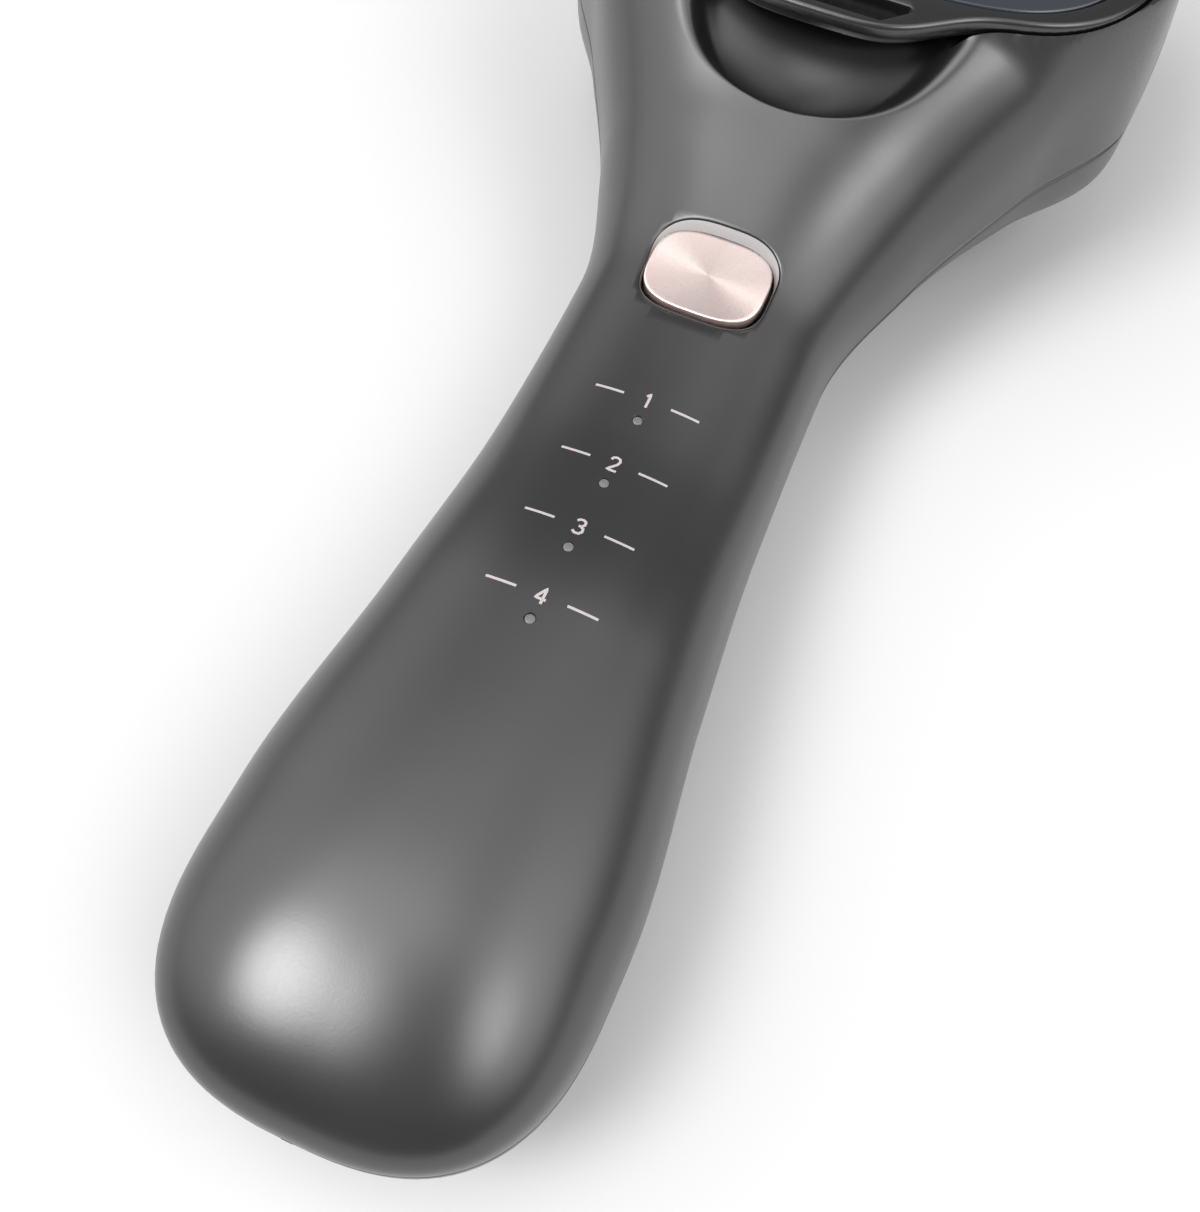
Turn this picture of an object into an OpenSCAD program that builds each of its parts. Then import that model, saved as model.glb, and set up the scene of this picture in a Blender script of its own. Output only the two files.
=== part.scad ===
// Handheld electric scalp massager with a serum head.
// It lies as on a table: butt on its foot, head on its tines.
// x is across the handle, y runs from the butt to the head and z is up.
// Inside the modules y is counted from the end of the butt, and placed() moves
// the finished piece so that the origin lies under the middle of the object.

/* [Fits] */
// Radial gap between pieces that locate each other
snug = 0.05; // [0.03:0.01:0.08]
// Radial gap round screws and through holes
loose = 0.3; // [0.2:0.05:0.4]

/* [Body length] */
// Length over everything
body_len = 232; // [225:1:245]
// Length of the rounding at the butt
butt_len = 25; // [18:1:28]
// Length of the rounding at the far end of the head
nose_len = 28; // [22:1:32]

/* [Sections along the body: half width, top, seam and underside heights] */
// Butt
butt = [23, 30.5, 20.5, 1]; // [0:0.5:60]
// Distance of the palm section from the butt
palm_y = 30; // [28:1:34]
// Palm
palm = [23, 32, 16, 1]; // [0:0.5:60]
// Distance of the belly section from the butt
belly_y = 58; // [54:1:62]
// Belly
belly = [20, 32, 15.5, 3]; // [0:0.5:60]
// Grip, between the belly and the neck
grip = [18, 30, 16, 7]; // [0:0.5:60]
// Distance of the neck section, where the button sits, from the head's far end
neck_in = 125; // [122:1:128]
// Neck
neck = [17.5, 32, 17.5, 13]; // [0:0.5:60]
// Distance of the throat section from the head's far end
throat_in = 104; // [102:1:107]
// Throat
throat = [23, 39.5, 19, 14]; // [0:0.5:60]
// Distance of the shoulder section from the head's far end
shoulder_in = 85; // [84:1:87]
// Shoulder
shoulder = [32.5, 49, 23, 13]; // [0:0.5:60]
// Distance of the brow section from the head's far end
brow_in = 66; // [62:1:70]
// Brow
brow = [42.5, 53.5, 24, 10]; // [0:0.5:60]
// Distance of the middle of the head from its far end
head_in = 44; // [42:1:46]
// Head
head = [44, 54, 22.5, 10]; // [0:0.5:60]

/* [Section shape] */
// Squareness of the handle above the seam
handle_square = 2.5; // [2.2:0.1:3]
// Squareness of the handle below the seam
handle_square_low = 2.35; // [2.1:0.05:3]
// Squareness of the head above the seam
head_square = 5; // [4:0.1:6]
// Squareness of the head below the seam
head_square_low = 4.5; // [4:0.1:6]
// How far the head flares out towards the seam
head_flare = 2.5; // [1:0.1:3.5]
// How much fuller the head is made, so that it fills the corners under the lid
corner_fill = 10; // [6:0.5:12]
// Wall of both shells
wall = 2.2; // [1.8:0.1:2.6]
// Gap between the shells at the seam
seam_gap = 0.2; // [0.1:0.05:0.3]
// Height of the shoulders in front of the lid
crest_z = 48.5; // [46.5:0.1:48.9]
// Height of the deck under the lid
deck_z = 45; // [44:0.1:45.5]
// Height of the flat underside of the head
floor_z = 13; // [12:0.1:14]

/* [Finger scoop] */
// Half width of the scoop
scoop_half_w = 17; // [14:0.5:18]
// Length of the scoop's round front
scoop_reach = 16; // [13:0.5:17]
// Depth of the scoop
scoop_depth = 11.5; // [8:0.5:12]
// Width of the rounded lip at the scoop's front
scoop_front_lip = 2.5; // [1:0.5:5]
// Width of the rounded lip at the scoop's sides
scoop_side_lip = 7.5; // [3:0.5:9]
// Distance of the scoop's straight end wall beyond the shoulder section
scoop_run = 4.5; // [3:0.5:6]

/* [Lid] */
// Half width of the lid
lid_half_w = 39.5; // [38:0.1:40]
// Half length of the lid without its tab
lid_half_l = 40.2; // [39.2:0.1:40.7]
// Squareness of the lid's outline
lid_square = 3.9; // [3.7:0.1:4.3]
// Thickness of the lid
lid_t = 3.4; // [3:0.1:4]
// Gap between the deck and the lid
lid_gap = 0.6; // [0.5:0.1:0.8]
// Gap between the lid and the edge of the deck
lid_play = 0.4; // [0.3:0.05:0.6]
// Distance of the lid's far edge from the end of the head
lid_far_in = 6.5; // [6:0.1:7.5]
// How far the finger tab reaches over the scoop
tab_len = 7.3; // [6:0.1:9]
// Half width of the finger tab
tab_half_w = 15.8; // [13:0.1:17]
// Half width of the glossy panel
panel_half_w = 36.3; // [34:0.1:37]
// Half length of the glossy panel
panel_half_l = 37.5; // [35.3:0.1:37.8]
// Width of the lid's rim behind the panel
panel_rim = 3.8; // [3:0.1:4.5]
// Squareness of the panel's outline
panel_square = 3.65; // [3.4:0.05:4]
// Thickness of the panel
panel_t = 1.8; // [1.4:0.1:2]
// Gap round the panel
panel_play = 0.35; // [0.2:0.05:0.5]
// Length of the slot in the tab, along its front
slot_w = 16; // [12:0.5:18]
// Width of the slot in the tab
slot_d = 3.9; // [3:0.1:4.2]
// Distance of the slot from the tab's front edge
slot_edge = 1.8; // [1.4:0.1:2.2]
// Radius of the hinge barrels
hinge_r = 2.1; // [1.9:0.1:2.3]
// Radius of the hinge pin
hinge_pin_r = 0.9; // [0.7:0.05:1]
// Half length of the hinge
hinge_half_w = 17; // [14:0.5:19]
// Half length of the lid's own barrel
lid_barrel_half_w = 9; // [7:0.5:10]
// Radius of the lid's magnets
magnet_r = 2; // [1.5:0.1:2.2]
// Thickness of the lid's magnets
magnet_t = 1.2; // [1:0.1:1.3]
// Half distance between the magnets
magnet_x = 24; // [22:0.5:26]

/* [Button] */
// Half width of the button
button_half_w = 7.65; // [7:0.05:8]
// Half length of the button
button_half_l = 5.8; // [5.2:0.05:6.2]
// Squareness of the button's outline
button_square = 3.1; // [2.6:0.1:3.6]
// How far the button stands above the body
button_proud = 0.45; // [0.3:0.05:0.7]
// Thickness of the button's metal cap
button_t = 1.6; // [1.4:0.1:1.8]
// Gap round the button
button_play = 0.35; // [0.25:0.05:0.5]
// Travel of the button
button_travel = 0.6; // [0.4:0.05:0.8]

/* [Indicator lights] */
// Distance of the first light from the button
light_gap = 22.2; // [21:0.1:23]
// Distance between the lights
light_pitch = 10; // [9:0.1:10.2]
// Number of lights
light_count = 4; // [2:1:4]
// Radius of a light
light_r = 0.6; // [0.5:0.05:0.8]

/* [Circuit board] */
// Half width of the main board
board_half_w = 11; // [10:0.5:11.5]
// Thickness of every circuit board
board_t = 1; // [0.8:0.1:1.2]
// Height of the main board's top
board_z = 25.6; // [25.5:0.1:25.8]
// How far the board reaches past the last light
board_near = 4.8; // [4:0.1:6]
// How far the board reaches past the middle of the button
board_far = 7; // [6:0.5:8]
// Distance of the near screws from the board's near end
board_hole_near = 9; // [8:0.5:10]
// Distance of the far screws from the board's far end
board_hole_far = 14; // [13:0.5:15]
// Distance of the screws from the board's sides
board_hole_side = 2.4; // [2.2:0.1:3]
// Radius of the main board's screws
board_screw_r = 0.9; // [0.8:0.05:1]
// Radius of every wire
wire_r = 0.6; // [0.4:0.05:0.7]
// Half distance between the battery's two wires
cell_wire_x = 4; // [3:0.5:5]
// Half distance between the motor's two wires
motor_wire_x = 3; // [2:0.5:4]
// Half distance between the two wires to the light
light_wire_x = 9.6; // [9:0.1:10]

/* [Battery] */
// Radius of the battery cell
cell_r = 7.1; // [6.6:0.05:7.1]
// Length of the battery cell
cell_len = 50; // [48:0.5:51]
// Distance of the cell's near end from the butt
cell_y0 = 20; // [19.5:0.1:20.5]
// Wall of the battery cradle
cradle_wall = 1.5; // [1.2:0.1:1.6]
// Gap between the cell and its cradle
cell_play = 0.15; // [0.1:0.05:0.2]
// Height of the battery cradle's underside
cradle_z = 8.6; // [8.5:0.1:8.8]

/* [Charging and foot] */
// Radius of a charging contact
contact_r = 1.6; // [1.2:0.1:1.8]
// Distance between the charging contacts
contact_pitch = 10; // [8:0.5:11]
// Distance of the contacts from the butt
contact_y = 11; // [10:0.5:12]
// Height of the contacts' faces
contact_z = 3.8; // [3.4:0.1:4]
// Radius of the rest foot
foot_r = 8; // [6:0.5:9]
// Thickness of the rest foot
foot_t = 2.4; // [2.2:0.1:2.6]
// Distance of the foot from the butt
foot_y = 40; // [38:1:42]

/* [Case screws] */
// Radius of a case screw's shank
screw_r = 1.1; // [1:0.05:1.2]
// Radius of a case screw's head
screw_head_r = 1.9; // [1.8:0.1:2]
// Thickness of a case screw's head
screw_head_t = 1.4; // [1.2:0.1:1.5]
// Radius of the screw bosses
boss_r = 3.2; // [3:0.1:3.3]
// Half distance between the two screws in the butt
butt_screw_x = 12.5; // [12.3:0.1:12.8]
// Distance of the butt screws from the butt
butt_screw_y = 24; // [23:0.5:26]
// Half distance between the left and right screws in the head
head_screw_x = 34; // [33.5:0.5:34.5]
// Half distance between the near and far screws in the head
head_screw_dy = 14; // [12:0.5:15]
// Length of a case screw's shank
screw_len = 15; // [13:0.5:16]

/* [Vibration motor] */
// Radius of the motor
motor_r = 6; // [5.5:0.1:6.2]
// Length of the motor
motor_len = 14; // [12:0.5:15]
// Distance of the motor's near end from the middle of the head
motor_in = 42; // [41:0.5:42.5]
// How much of the motor's near end stands out of its holder
motor_bare = 5; // [4:0.5:6]
// Wall of the motor's holder
holder_wall = 2; // [1.6:0.1:2.4]
// Radius of the motor's shaft
motor_shaft_r = 0.8; // [0.7:0.05:0.9]
// Radius of the eccentric weight
weight_r = 4.4; // [4:0.1:4.4]
// Length of the eccentric weight
weight_len = 5; // [4:0.5:5.5]

/* [Comb plate and tines] */
// Half width of the comb plate
comb_half_w = 37; // [36:0.5:37.5]
// Half length of the comb plate
comb_half_l = 33.5; // [33:0.5:34]
// Squareness of the comb plate's outline
comb_square = 3; // [2.8:0.1:3.4]
// Thickness of the comb plate's flange
comb_t = 1.6; // [1.4:0.1:1.8]
// Thickness of the gasket over the comb plate
gasket_t = 0.5; // [0.4:0.1:0.7]
// How far the plate's core lies inside the flange's edge
comb_step = 8; // [7:0.5:8.5]
// Height of the comb plate's core above the underside of the head
comb_core_t = 2.4; // [2.2:0.1:2.6]
// Radius of a tine at its root
tine_root_r = 2.3; // [2:0.1:2.5]
// Radius of a tine at its tip
tine_tip_r = 1.4; // [1.2:0.1:1.6]
// Distance between tines across the head
tine_pitch_x = 9.4; // [9:0.1:11]
// Distance between rows of tines
tine_pitch_y = 8.3; // [7.8:0.1:9.4]
// Height of the flare at a tine's foot
tine_foot_t = 1.2; // [1:0.1:1.4]
// Radius of the light's lens
lens_r = 9; // [8:0.1:9.5]

/* [Serum nozzles] */
// Half distance between nozzles across the head
nozzle_x = 19; // [18:0.5:20]
// Half distance between nozzles along the head
nozzle_dy = 15; // [14:0.5:16]
// Radius of a nozzle's stem
nozzle_r = 1.8; // [1.6:0.05:1.9]
// Radius of a nozzle's guided collar
collar_r = 2.25; // [2.15:0.05:2.35]
// Height of a nozzle's spring when it is pressed flat
spring_flat = 3.7; // [3:0.1:4.2]
// Radial running gap of a nozzle in its sleeve
nozzle_play = 0.08; // [0.05:0.01:0.1]
// Travel of a nozzle
nozzle_travel = 1.8; // [1.2:0.1:2]
// Radius of the serum channel
channel_r = 0.5; // [0.4:0.05:0.6]
// Wall of the nozzle sleeves
sleeve_wall = 0.7; // [0.6:0.05:0.8]
// How far the nozzles reach below the comb plate
nozzle_reach = 9.2; // [8:0.1:9.4]

/* [Serum pod] */
// Width of the pod
pod_w = 52; // [50:0.5:54]
// Length of the pod
pod_l = 46; // [44:0.5:47]
// Height of the pod
pod_h = 14.6; // [13:0.1:15]
// Wall of the pod
pod_wall = 1.4; // [1.2:0.1:1.6]
// Corner radius of the pod
pod_round = 8; // [6:0.5:9]
// Gap between the pod and its tray
pod_play = 0.4; // [0.3:0.05:0.5]
// Wall of the pod's tray
tray_wall = 1.4; // [1.2:0.1:1.6]
// Height of the tray's underside
tray_z = 28; // [27.8:0.1:28.4]
// Thickness of the serum manifold
manifold_t = 5; // [4.5:0.1:5]
// Half distance between the spigots that feed the manifold
spigot_x = 12; // [10:0.5:13]
// Distance of the filling hole from the middle of the pod
plug_dy = 12; // [10:0.5:14]
// Radius of the filling hole's plug
plug_r = 4; // [3:0.5:4.5]

/* [Hidden] */
$fn = 48;
tip = 0.12;                 // where the rounded ends are cut flat
skin_y = 1.3 * wall;        // the hollow stops this far inside both ends
across = 24;                // facets of a shell from seam to seam
flank = 8;                  // of which these lie on each side of the strip along the top
scoop_slope = 1.5;          // run of the scoop's end wall
fine = 11;                  // rings through the scoop
eps = 0.01;
beyond = 60;                // past everything, for cuts that go right through
head_y = body_len - head_in;
brow_y = body_len - brow_in;
shoulder_y = body_len - shoulder_in;
throat_y = body_len - throat_in;
neck_y = body_len - neck_in;
grip_y = belly_y + (neck_y - belly_y) * 0.51;
blend = [throat_y - 10, brow_y - 1];             // where the handle's section turns into the head's
fill = [shoulder_y - 3, shoulder_y + 7];         // where the head grows fuller towards the lid's corners
scoop_y = shoulder_y;                            // the scoop's round front swings about this line
scoop_end = shoulder_y + scoop_run;
ys = [0, palm_y, belly_y, grip_y, neck_y, throat_y, shoulder_y, brow_y, head_y + 7];
sections = [butt, palm, belly, grip, neck, throat, shoulder, brow, head];
last = len(ys) - 1;
// Lid and hinge
lid_z = deck_z + lid_gap;                        // underside of the lid
lid_far = body_len - lid_far_in;                 // far edge of the lid
lid_y = lid_far - lid_half_l;                    // middle of the lid
panel_y = lid_far - panel_rim - panel_half_l;    // middle of the panel
panel_z = lid_z + lid_t - panel_t - 0.1;         // floor under the panel
hinge_y = lid_far + hinge_r + 0.3;               // hinge axis
hinge_z = lid_z + lid_t / 2;
hinge_seat_z = deck_z - 0.9;                     // flat that the hinge bracket stands on
hinge_web = 1.2;                                 // half thickness of the web to the lid's barrel
magnet_spots = [for (x = [-1, 1]) [x * magnet_x, lid_y - lid_half_l + 5.5]];
// Button, its flange under the wall and the switch below it
button_tilt = atan(slope(1, 4));                 // the button lies square to the body
button_z = neck[1] + button_proud;               // top of the button
flange_z = button_proud + wall + 1.55;           // depth of the flange that keeps the button in
flange_t = 0.6;
flange_w = 1.1;                                  // how far the flange stands out
switch_h = 0.6;
switch_w = 6;
switch_y = neck_y + (button_z - board_z - switch_h) * tan(button_tilt);
switch_floor = 0.2;                              // bottom of the switch under the stem
stem_r = 1.7;
stem_z = board_z + switch_floor + button_travel + loose + stem_r * sin(button_tilt);
// Lights and board
light_y = neck_y - light_gap;
light_ys = [for (k = [0 : light_count - 1]) light_y - k * light_pitch];
board_y0 = light_ys[light_count - 1] - board_near;
board_y1 = neck_y + board_far;
led = [1.6, 0.8, 0.7];                           // one indicator light on the board
guide_z = board_z + led[2] + loose;              // underside of the light guide's bar
guide_t = 0.6;
guide_w = 2;                                     // half width and overhang of the bar
post_r = 1.9;                                    // posts that the board is screwed to
board_screws_at = [for (x = [-1, 1], y = [board_y0 + board_hole_near, board_y1 - board_hole_far])
    [x * (board_half_w - board_hole_side), y]];
board_screw_in = 2.2;                            // length of thread in the post
// Battery
cell_z = cradle_z + cradle_wall + cell_play + cell_r;
cell_y1 = cell_y0 + cell_len;
cell_cap_r = 2.4;
cell_cap_t = 0.8;
cradle_half_w = cell_r + cell_play + cradle_wall;
cradle_top = cell_z + 1.5;
cradle_feet = [for (x = [-6, 6], y = [cell_y0 + 6, cell_y1 - 8]) [x, y]];
cradle_foot_r = 2.2;
contact_top = 8.2;                               // where the contacts meet their board
// Screws
butt_screws = [for (x = [-1, 1]) [x * butt_screw_x, butt_screw_y]];
head_screws = [for (x = [-1, 1], y = [-1, 1]) [x * head_screw_x, head_y + y * head_screw_dy]];
butt_boss_z = 4.3;                               // the bosses in the butt start inside the lower wall
butt_boss_top = 27.2;                            // and end inside the upper one
butt_head_z = 7.2;                               // seat of the butt screws' heads
head_seat_z = floor_z + loose + screw_head_t;    // seat of the head screws' heads
bore_end = 0.5;                                  // a screw's bore is this much deeper
// Motor
motor_z = floor_z + wall + holder_wall + motor_r;
motor_y0 = head_y - motor_in;
motor_y1 = motor_y0 + motor_len;
holder_w = motor_r + holder_wall;
weight_y0 = motor_y1 + 1;
weight_y1 = weight_y0 + weight_len;
weight_top = 1.6;                                // the weight is cut off above its shaft
// Comb plate
comb_z = floor_z - gasket_t - comb_t;            // underside of the comb plate
comb_top = floor_z + comb_core_t;
lens_rim = 1.6;                                  // rim that keeps the lens in
lens_rim_t = 0.7;
lamp_z = comb_top + 2.2;                         // underside of the light's board
lamp_half = [13, 11];
lamp_legs = [for (x = [-11.6, 11.6], y = [-9.6, 9.6]) [x, head_y + y]];
lamp_leg_r = 1.3;
lamp_led = [2, 2, 1];
lamp_ring = 5;                                   // the leds stand on a circle of this radius
tine_margin = 4.5;                               // tines keep this far inside the comb plate's edge
// Nozzles
manifold_z = tray_z - manifold_t;
nozzle_spots = [for (x = [-1, 1], y = [-1, 1]) [x * nozzle_x, head_y + y * nozzle_dy]];
sleeve_step = comb_top - 2;                      // shoulder that the collar rests on
sleeve_r = collar_r + nozzle_play + sleeve_wall;
sleeve_rim = 0.9;                                // the sleeves are wider above the comb plate
collar_z = sleeve_step + 0.1;
collar_top = manifold_z - nozzle_travel - spring_flat;
spring_r = collar_r - loose;
spring_wall = 0.6;
// Serum pod, its tray and the manifold below it
manifold_edge = 5;                               // manifold outside the nozzles' axes
tray_rim = 2.5;                                  // rim that holds the tray under the deck
tray_rim_t = 1.4;
pod_z = tray_z + tray_wall + 0.2;
pod_top = pod_z + pod_h;
spigot_r = 2.3;
spigot_tail_r = 1.5;
spigot_tail = 2.4;

// ---- the body's surface --------------------------------------------------

// Smooth curve through the sections, without overshoot. c is the column.
function secant(c, i) = (sections[i + 1][c] - sections[i][c]) / (ys[i + 1] - ys[i]);
function slope(c, i) =
    i == 0 ? secant(c, 0) :
    i == last || secant(c, i - 1) * secant(c, i) <= 0 ? 0 :
    let (h0 = ys[i] - ys[i - 1], h1 = ys[i + 1] - ys[i])
    3 * (h0 + h1) / ((2 * h1 + h0) / secant(c, i - 1) + (h1 + 2 * h0) / secant(c, i));
function span_of(y, i = 0) = i == last - 1 || y < ys[i + 1] ? i : span_of(y, i + 1);
function along(c, y) =
    let (i = span_of(y), h = ys[i + 1] - ys[i], t = min((y - ys[i]) / h, 1), u = 1 - t)
    (1 + 2 * t) * u * u * sections[i][c] + t * u * u * h * slope(c, i)
    + t * t * (3 - 2 * t) * sections[i + 1][c] - t * t * u * h * slope(c, i + 1);
function ease(a, b, y) = let (t = min(max((y - a) / (b - a), 0), 1)) t * t * (3 - 2 * t);
function end_round(d, len, n) = pow(1 - pow(1 - min(max(d, tip) / len, 1), n), 1 / n);

// Section at y as [half width, flare, top, seam, underside, squareness up, down]
function section(y) =
    let (seam = along(2, y), mix = ease(blend[0], blend[1], y),
         top = along(1, y) + corner_fill * ease(fill[0], fill[1], y),
         plan = end_round(y, butt_len, 2.66) * end_round(body_len - y, nose_len, 3),
         rise = end_round(y, butt_len, 2.2) * end_round(body_len - y, nose_len, 3))
    [along(0, y) * plan, head_flare * ease(shoulder_y, head_y, y) * plan,
     seam + (top - seam) * rise, seam, seam - (seam - along(3, y)) * rise,
     handle_square + (head_square - handle_square) * mix,
     handle_square_low + (head_square_low - handle_square_low) * mix];

// Depth of the finger scoop under the body's surface, which falls away slowly at its lip. grow
// widens it for the inner skin, which has no lip.
function scoop(x, y, grow) =
    let (u = x / (scoop_half_w + grow), v = min(y - scoop_y, 0) / (scoop_reach + grow),
         r = sqrt(u * u + v * v), side = u * u / max(r * r, eps),
         front = scoop_front_lip / scoop_reach, lip = front + (scoop_side_lip / scoop_half_w - front) * side,
         end = (scoop_end + grow + scoop_slope - y) / scoop_slope)
    r >= 1 ? 0 : scoop_depth * sqrt(1 - r * r) * (grow > 0 ? 1 : ease(0, lip, 1 - r)) * min(max(end, 0), 1);

// Length over which the strip of facets along the top narrows towards the scoop
strip_run = 20;
// Half width of that strip: inside the scoop it is the scoop's own edge
function strip(y, skin) =
    let (v = min(y - scoop_y, 0) / (scoop_reach + skin), start = scoop_y - scoop_reach - skin,
         least = scoop_half_w / 4)
    y < start ? least + (along(0, y) / 2 - least) * (1 - ease(start - strip_run, start, y))
              : max(least, (scoop_half_w + skin) * sqrt(max(1 - v * v, 0)));
// Angle of column j of the upper shell, from 0 at the right seam to 180 at the left one
function column(y, j, skin) =
    j > across / 2 ? 180 - column(y, across - j, skin) :
    let (s = section(y), wide = s[0] - s[1] - skin, part = min(strip(y, skin) / wide, 0.7), k = across / 2,
         edge = acos(pow(part, s[5] / 2)))
    j <= flank ? edge * j / flank : acos(pow(part * (k - j) / (k - flank), s[5] / 2));
function above(y, a, skin) =
    let (s = section(y), e = 2 / s[5], u = pow(abs(sin(a)), e), c = cos(a),
         x = sign(c) * ((s[0] - s[1] - skin) * pow(abs(c), e) + s[1] * pow(1 - u, 2)),
         cap = skin > 0 ? deck_z - wall : crest_z,
         z = min(s[3] + seam_gap / 2 + (s[2] - s[3] - seam_gap / 2 - skin) * u, cap))
    [x, y, z - min(scoop(x, y, skin), max(z - s[3] - 4, 0))];
function below(y, a, skin) =
    let (s = section(y), e = 2 / s[6], u = pow(abs(sin(a)), e), c = cos(a),
         z = s[3] - seam_gap / 2 - (s[3] - seam_gap / 2 - s[4] - skin) * u)
    [sign(c) * (s[0] - skin) * pow(abs(c), e), y, y > blend[0] ? max(z, floor_z + skin) : z];

// Rings along the body. skin is 0 outside and the wall's thickness inside.
function ring_ys(skin) =
    let (y0 = skin > 0 ? skin_y : 0, y1 = body_len - y0, fine0 = scoop_y - scoop_reach - skin,
         fine1 = scoop_end + skin, head0 = fine1 + scoop_slope, nose0 = body_len - nose_len)
    concat([for (i = [0 : 7]) y0 + (butt_len - y0) * pow(i / 8, 2)],
           [for (i = [0 : 11]) butt_len + (fine0 - butt_len) * i / 12],
           [for (i = [0 : fine]) fine0 + (fine1 - fine0) * pow(i / fine, 1.3)],
           [for (i = [0 : 5]) head0 + (nose0 - head0) * i / 6],
           [for (i = [0 : 7]) y1 - (y1 - nose0) * pow(1 - i / 7, 2)]);
function skin_rows(skin, low) =
    [for (y = ring_ys(skin)) [for (j = [0 : across]) let (a = 180 * j / across)
        low ? below(y, 180 + a, skin) : above(y, column(y, j, skin), skin)]];

// Closed shell between an outer and an inner skin, open along the seam
module shell(low) {
    outer = skin_rows(0, low);
    inner = skin_rows(wall, low);
    n = len(outer);
    m = across + 1;
    o = function (i, j) i * m + j;
    k = function (i, j) (n + i) * m + j;
    function quad(a, b, c, d) = [[a, b, c], [a, c, d]];
    faces = [for (i = [0 : n - 2], j = [0 : across - 1], f = concat(
                 quad(o(i, j), o(i, j + 1), o(i + 1, j + 1), o(i + 1, j)),
                 quad(k(i, j), k(i + 1, j), k(i + 1, j + 1), k(i, j + 1)))) f];
    seams = [for (i = [0 : n - 2], f = concat(
                 quad(o(i, 0), o(i + 1, 0), k(i + 1, 0), k(i, 0)),
                 quad(o(i, across), k(i, across), k(i + 1, across), o(i + 1, across)))) f];
    ends = [for (j = [1 : across - 1], f = [
                 [o(0, 0), o(0, j + 1), o(0, j)], [o(n - 1, 0), o(n - 1, j), o(n - 1, j + 1)],
                 [k(0, 0), k(0, j), k(0, j + 1)], [k(n - 1, 0), k(n - 1, j + 1), k(n - 1, j)]]) f];
    lips = concat(quad(o(0, 0), k(0, 0), k(0, across), o(0, across)),
                  quad(k(n - 1, 0), o(n - 1, 0), o(n - 1, across), k(n - 1, across)));
    polyhedron([for (r = concat(outer, inner), p = r) p], concat(faces, seams, ends, lips));
}

// ---- outlines and helpers ------------------------------------------------

function superellipse(a, b, n, y, from = 0, to = 360, step = 5) =
    [for (t = [from : step : to - step / 2]) let (c = cos(t), s = sin(t))
        [a * sign(c) * pow(abs(c), 2 / n), y + b * sign(s) * pow(abs(s), 2 / n)]];

// Lid: a rounded square whose front edge swells into the finger tab
function lid_outline(grow = 0) =
    let (a = lid_half_w + grow, b = lid_half_l + grow, w = 22,
         turn = 90 - acos(pow(w / a, lid_square / 2)), step = (90 - turn) / 9)
    concat(
        superellipse(a, b, lid_square, lid_y, 0, 180),
        superellipse(a, b, lid_square, lid_y, 180, 270 - turn, step),
        [for (x = [-w : 2 : w]) [x, lid_y - b * pow(1 - pow(abs(x) / a, lid_square), 1 / lid_square)
            - tab_len * exp(-pow(abs(x) / (tab_half_w + grow), 4.1))]],
        superellipse(a, b, lid_square, lid_y, 270 + turn + step, 360, step));

module slab(points, z0, z1) {
    translate([0, 0, z0]) linear_extrude(z1 - z0) polygon(points);
}
module rod(spot, r, z0, z1) {
    translate([spot[0], spot[1], z0]) cylinder(r = r, h = z1 - z0);
}
module rod_y(x, z, r, y0, y1) {
    translate([x, y1, z]) rotate([90, 0, 0]) cylinder(r = r, h = y1 - y0);
}
module rod_x(y, z, r, x0, x1) {
    translate([x0, y, z]) rotate([0, 90, 0]) cylinder(r = r, h = x1 - x0);
}
module box(x, y0, y1, z0, z1) {
    translate([-x, y0, z0]) cube([2 * x, y1 - y0, z1 - z0]);
}
// Rounded block centred on x = 0 and y
module round_block(w, l, r, y, z0, z1) {
    translate([0, y, z0]) linear_extrude(z1 - z0) union() {
        square([w - 2 * r, l], center = true);
        square([w, l - 2 * r], center = true);
        for (sx = [-1, 1], sy = [-1, 1]) translate([sx * (w / 2 - r), sy * (l / 2 - r)]) circle(r);
    }
}
// Frame of the button: x across, y along the body's surface, z out of it
module at_button() {
    translate([0, neck_y, button_z]) rotate([button_tilt, 0, 0]) children();
}
module button_shape(grow, z0, z1) {
    at_button() slab(superellipse(button_half_w + grow, button_half_l + grow, button_square, 0), z0, z1);
}
// Round wire through points that keep to one plane of constant x
module wire(points, r) {
    n = len(points);
    sides = 8;
    function dir(i) = points[min(i + 1, n - 1)] - points[max(i - 1, 0)];
    function ring(i) = let (t = dir(i) / norm(dir(i)), v = cross(t, [1, 0, 0]))
        [for (s = [0 : sides - 1]) points[i] + r * (cos(360 * s / sides) * [1, 0, 0]
            + sin(360 * s / sides) * v)];
    polyhedron([for (i = [0 : n - 1], p = ring(i)) p],
        concat([for (i = [0 : n - 2], s = [0 : sides - 1], f = let (q = (s + 1) % sides)
                   [[i * sides + s, (i + 1) * sides + q, (i + 1) * sides + s],
                    [i * sides + s, i * sides + q, (i + 1) * sides + q]]) f],
               [for (s = [1 : sides - 2], f = [[0, s + 1, s],
                   [(n - 1) * sides, (n - 1) * sides + s, (n - 1) * sides + s + 1]]) f]));
}
module placed() {
    translate([0, -body_len / 2, 0]) children();
}

// ---- shells --------------------------------------------------------------

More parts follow.
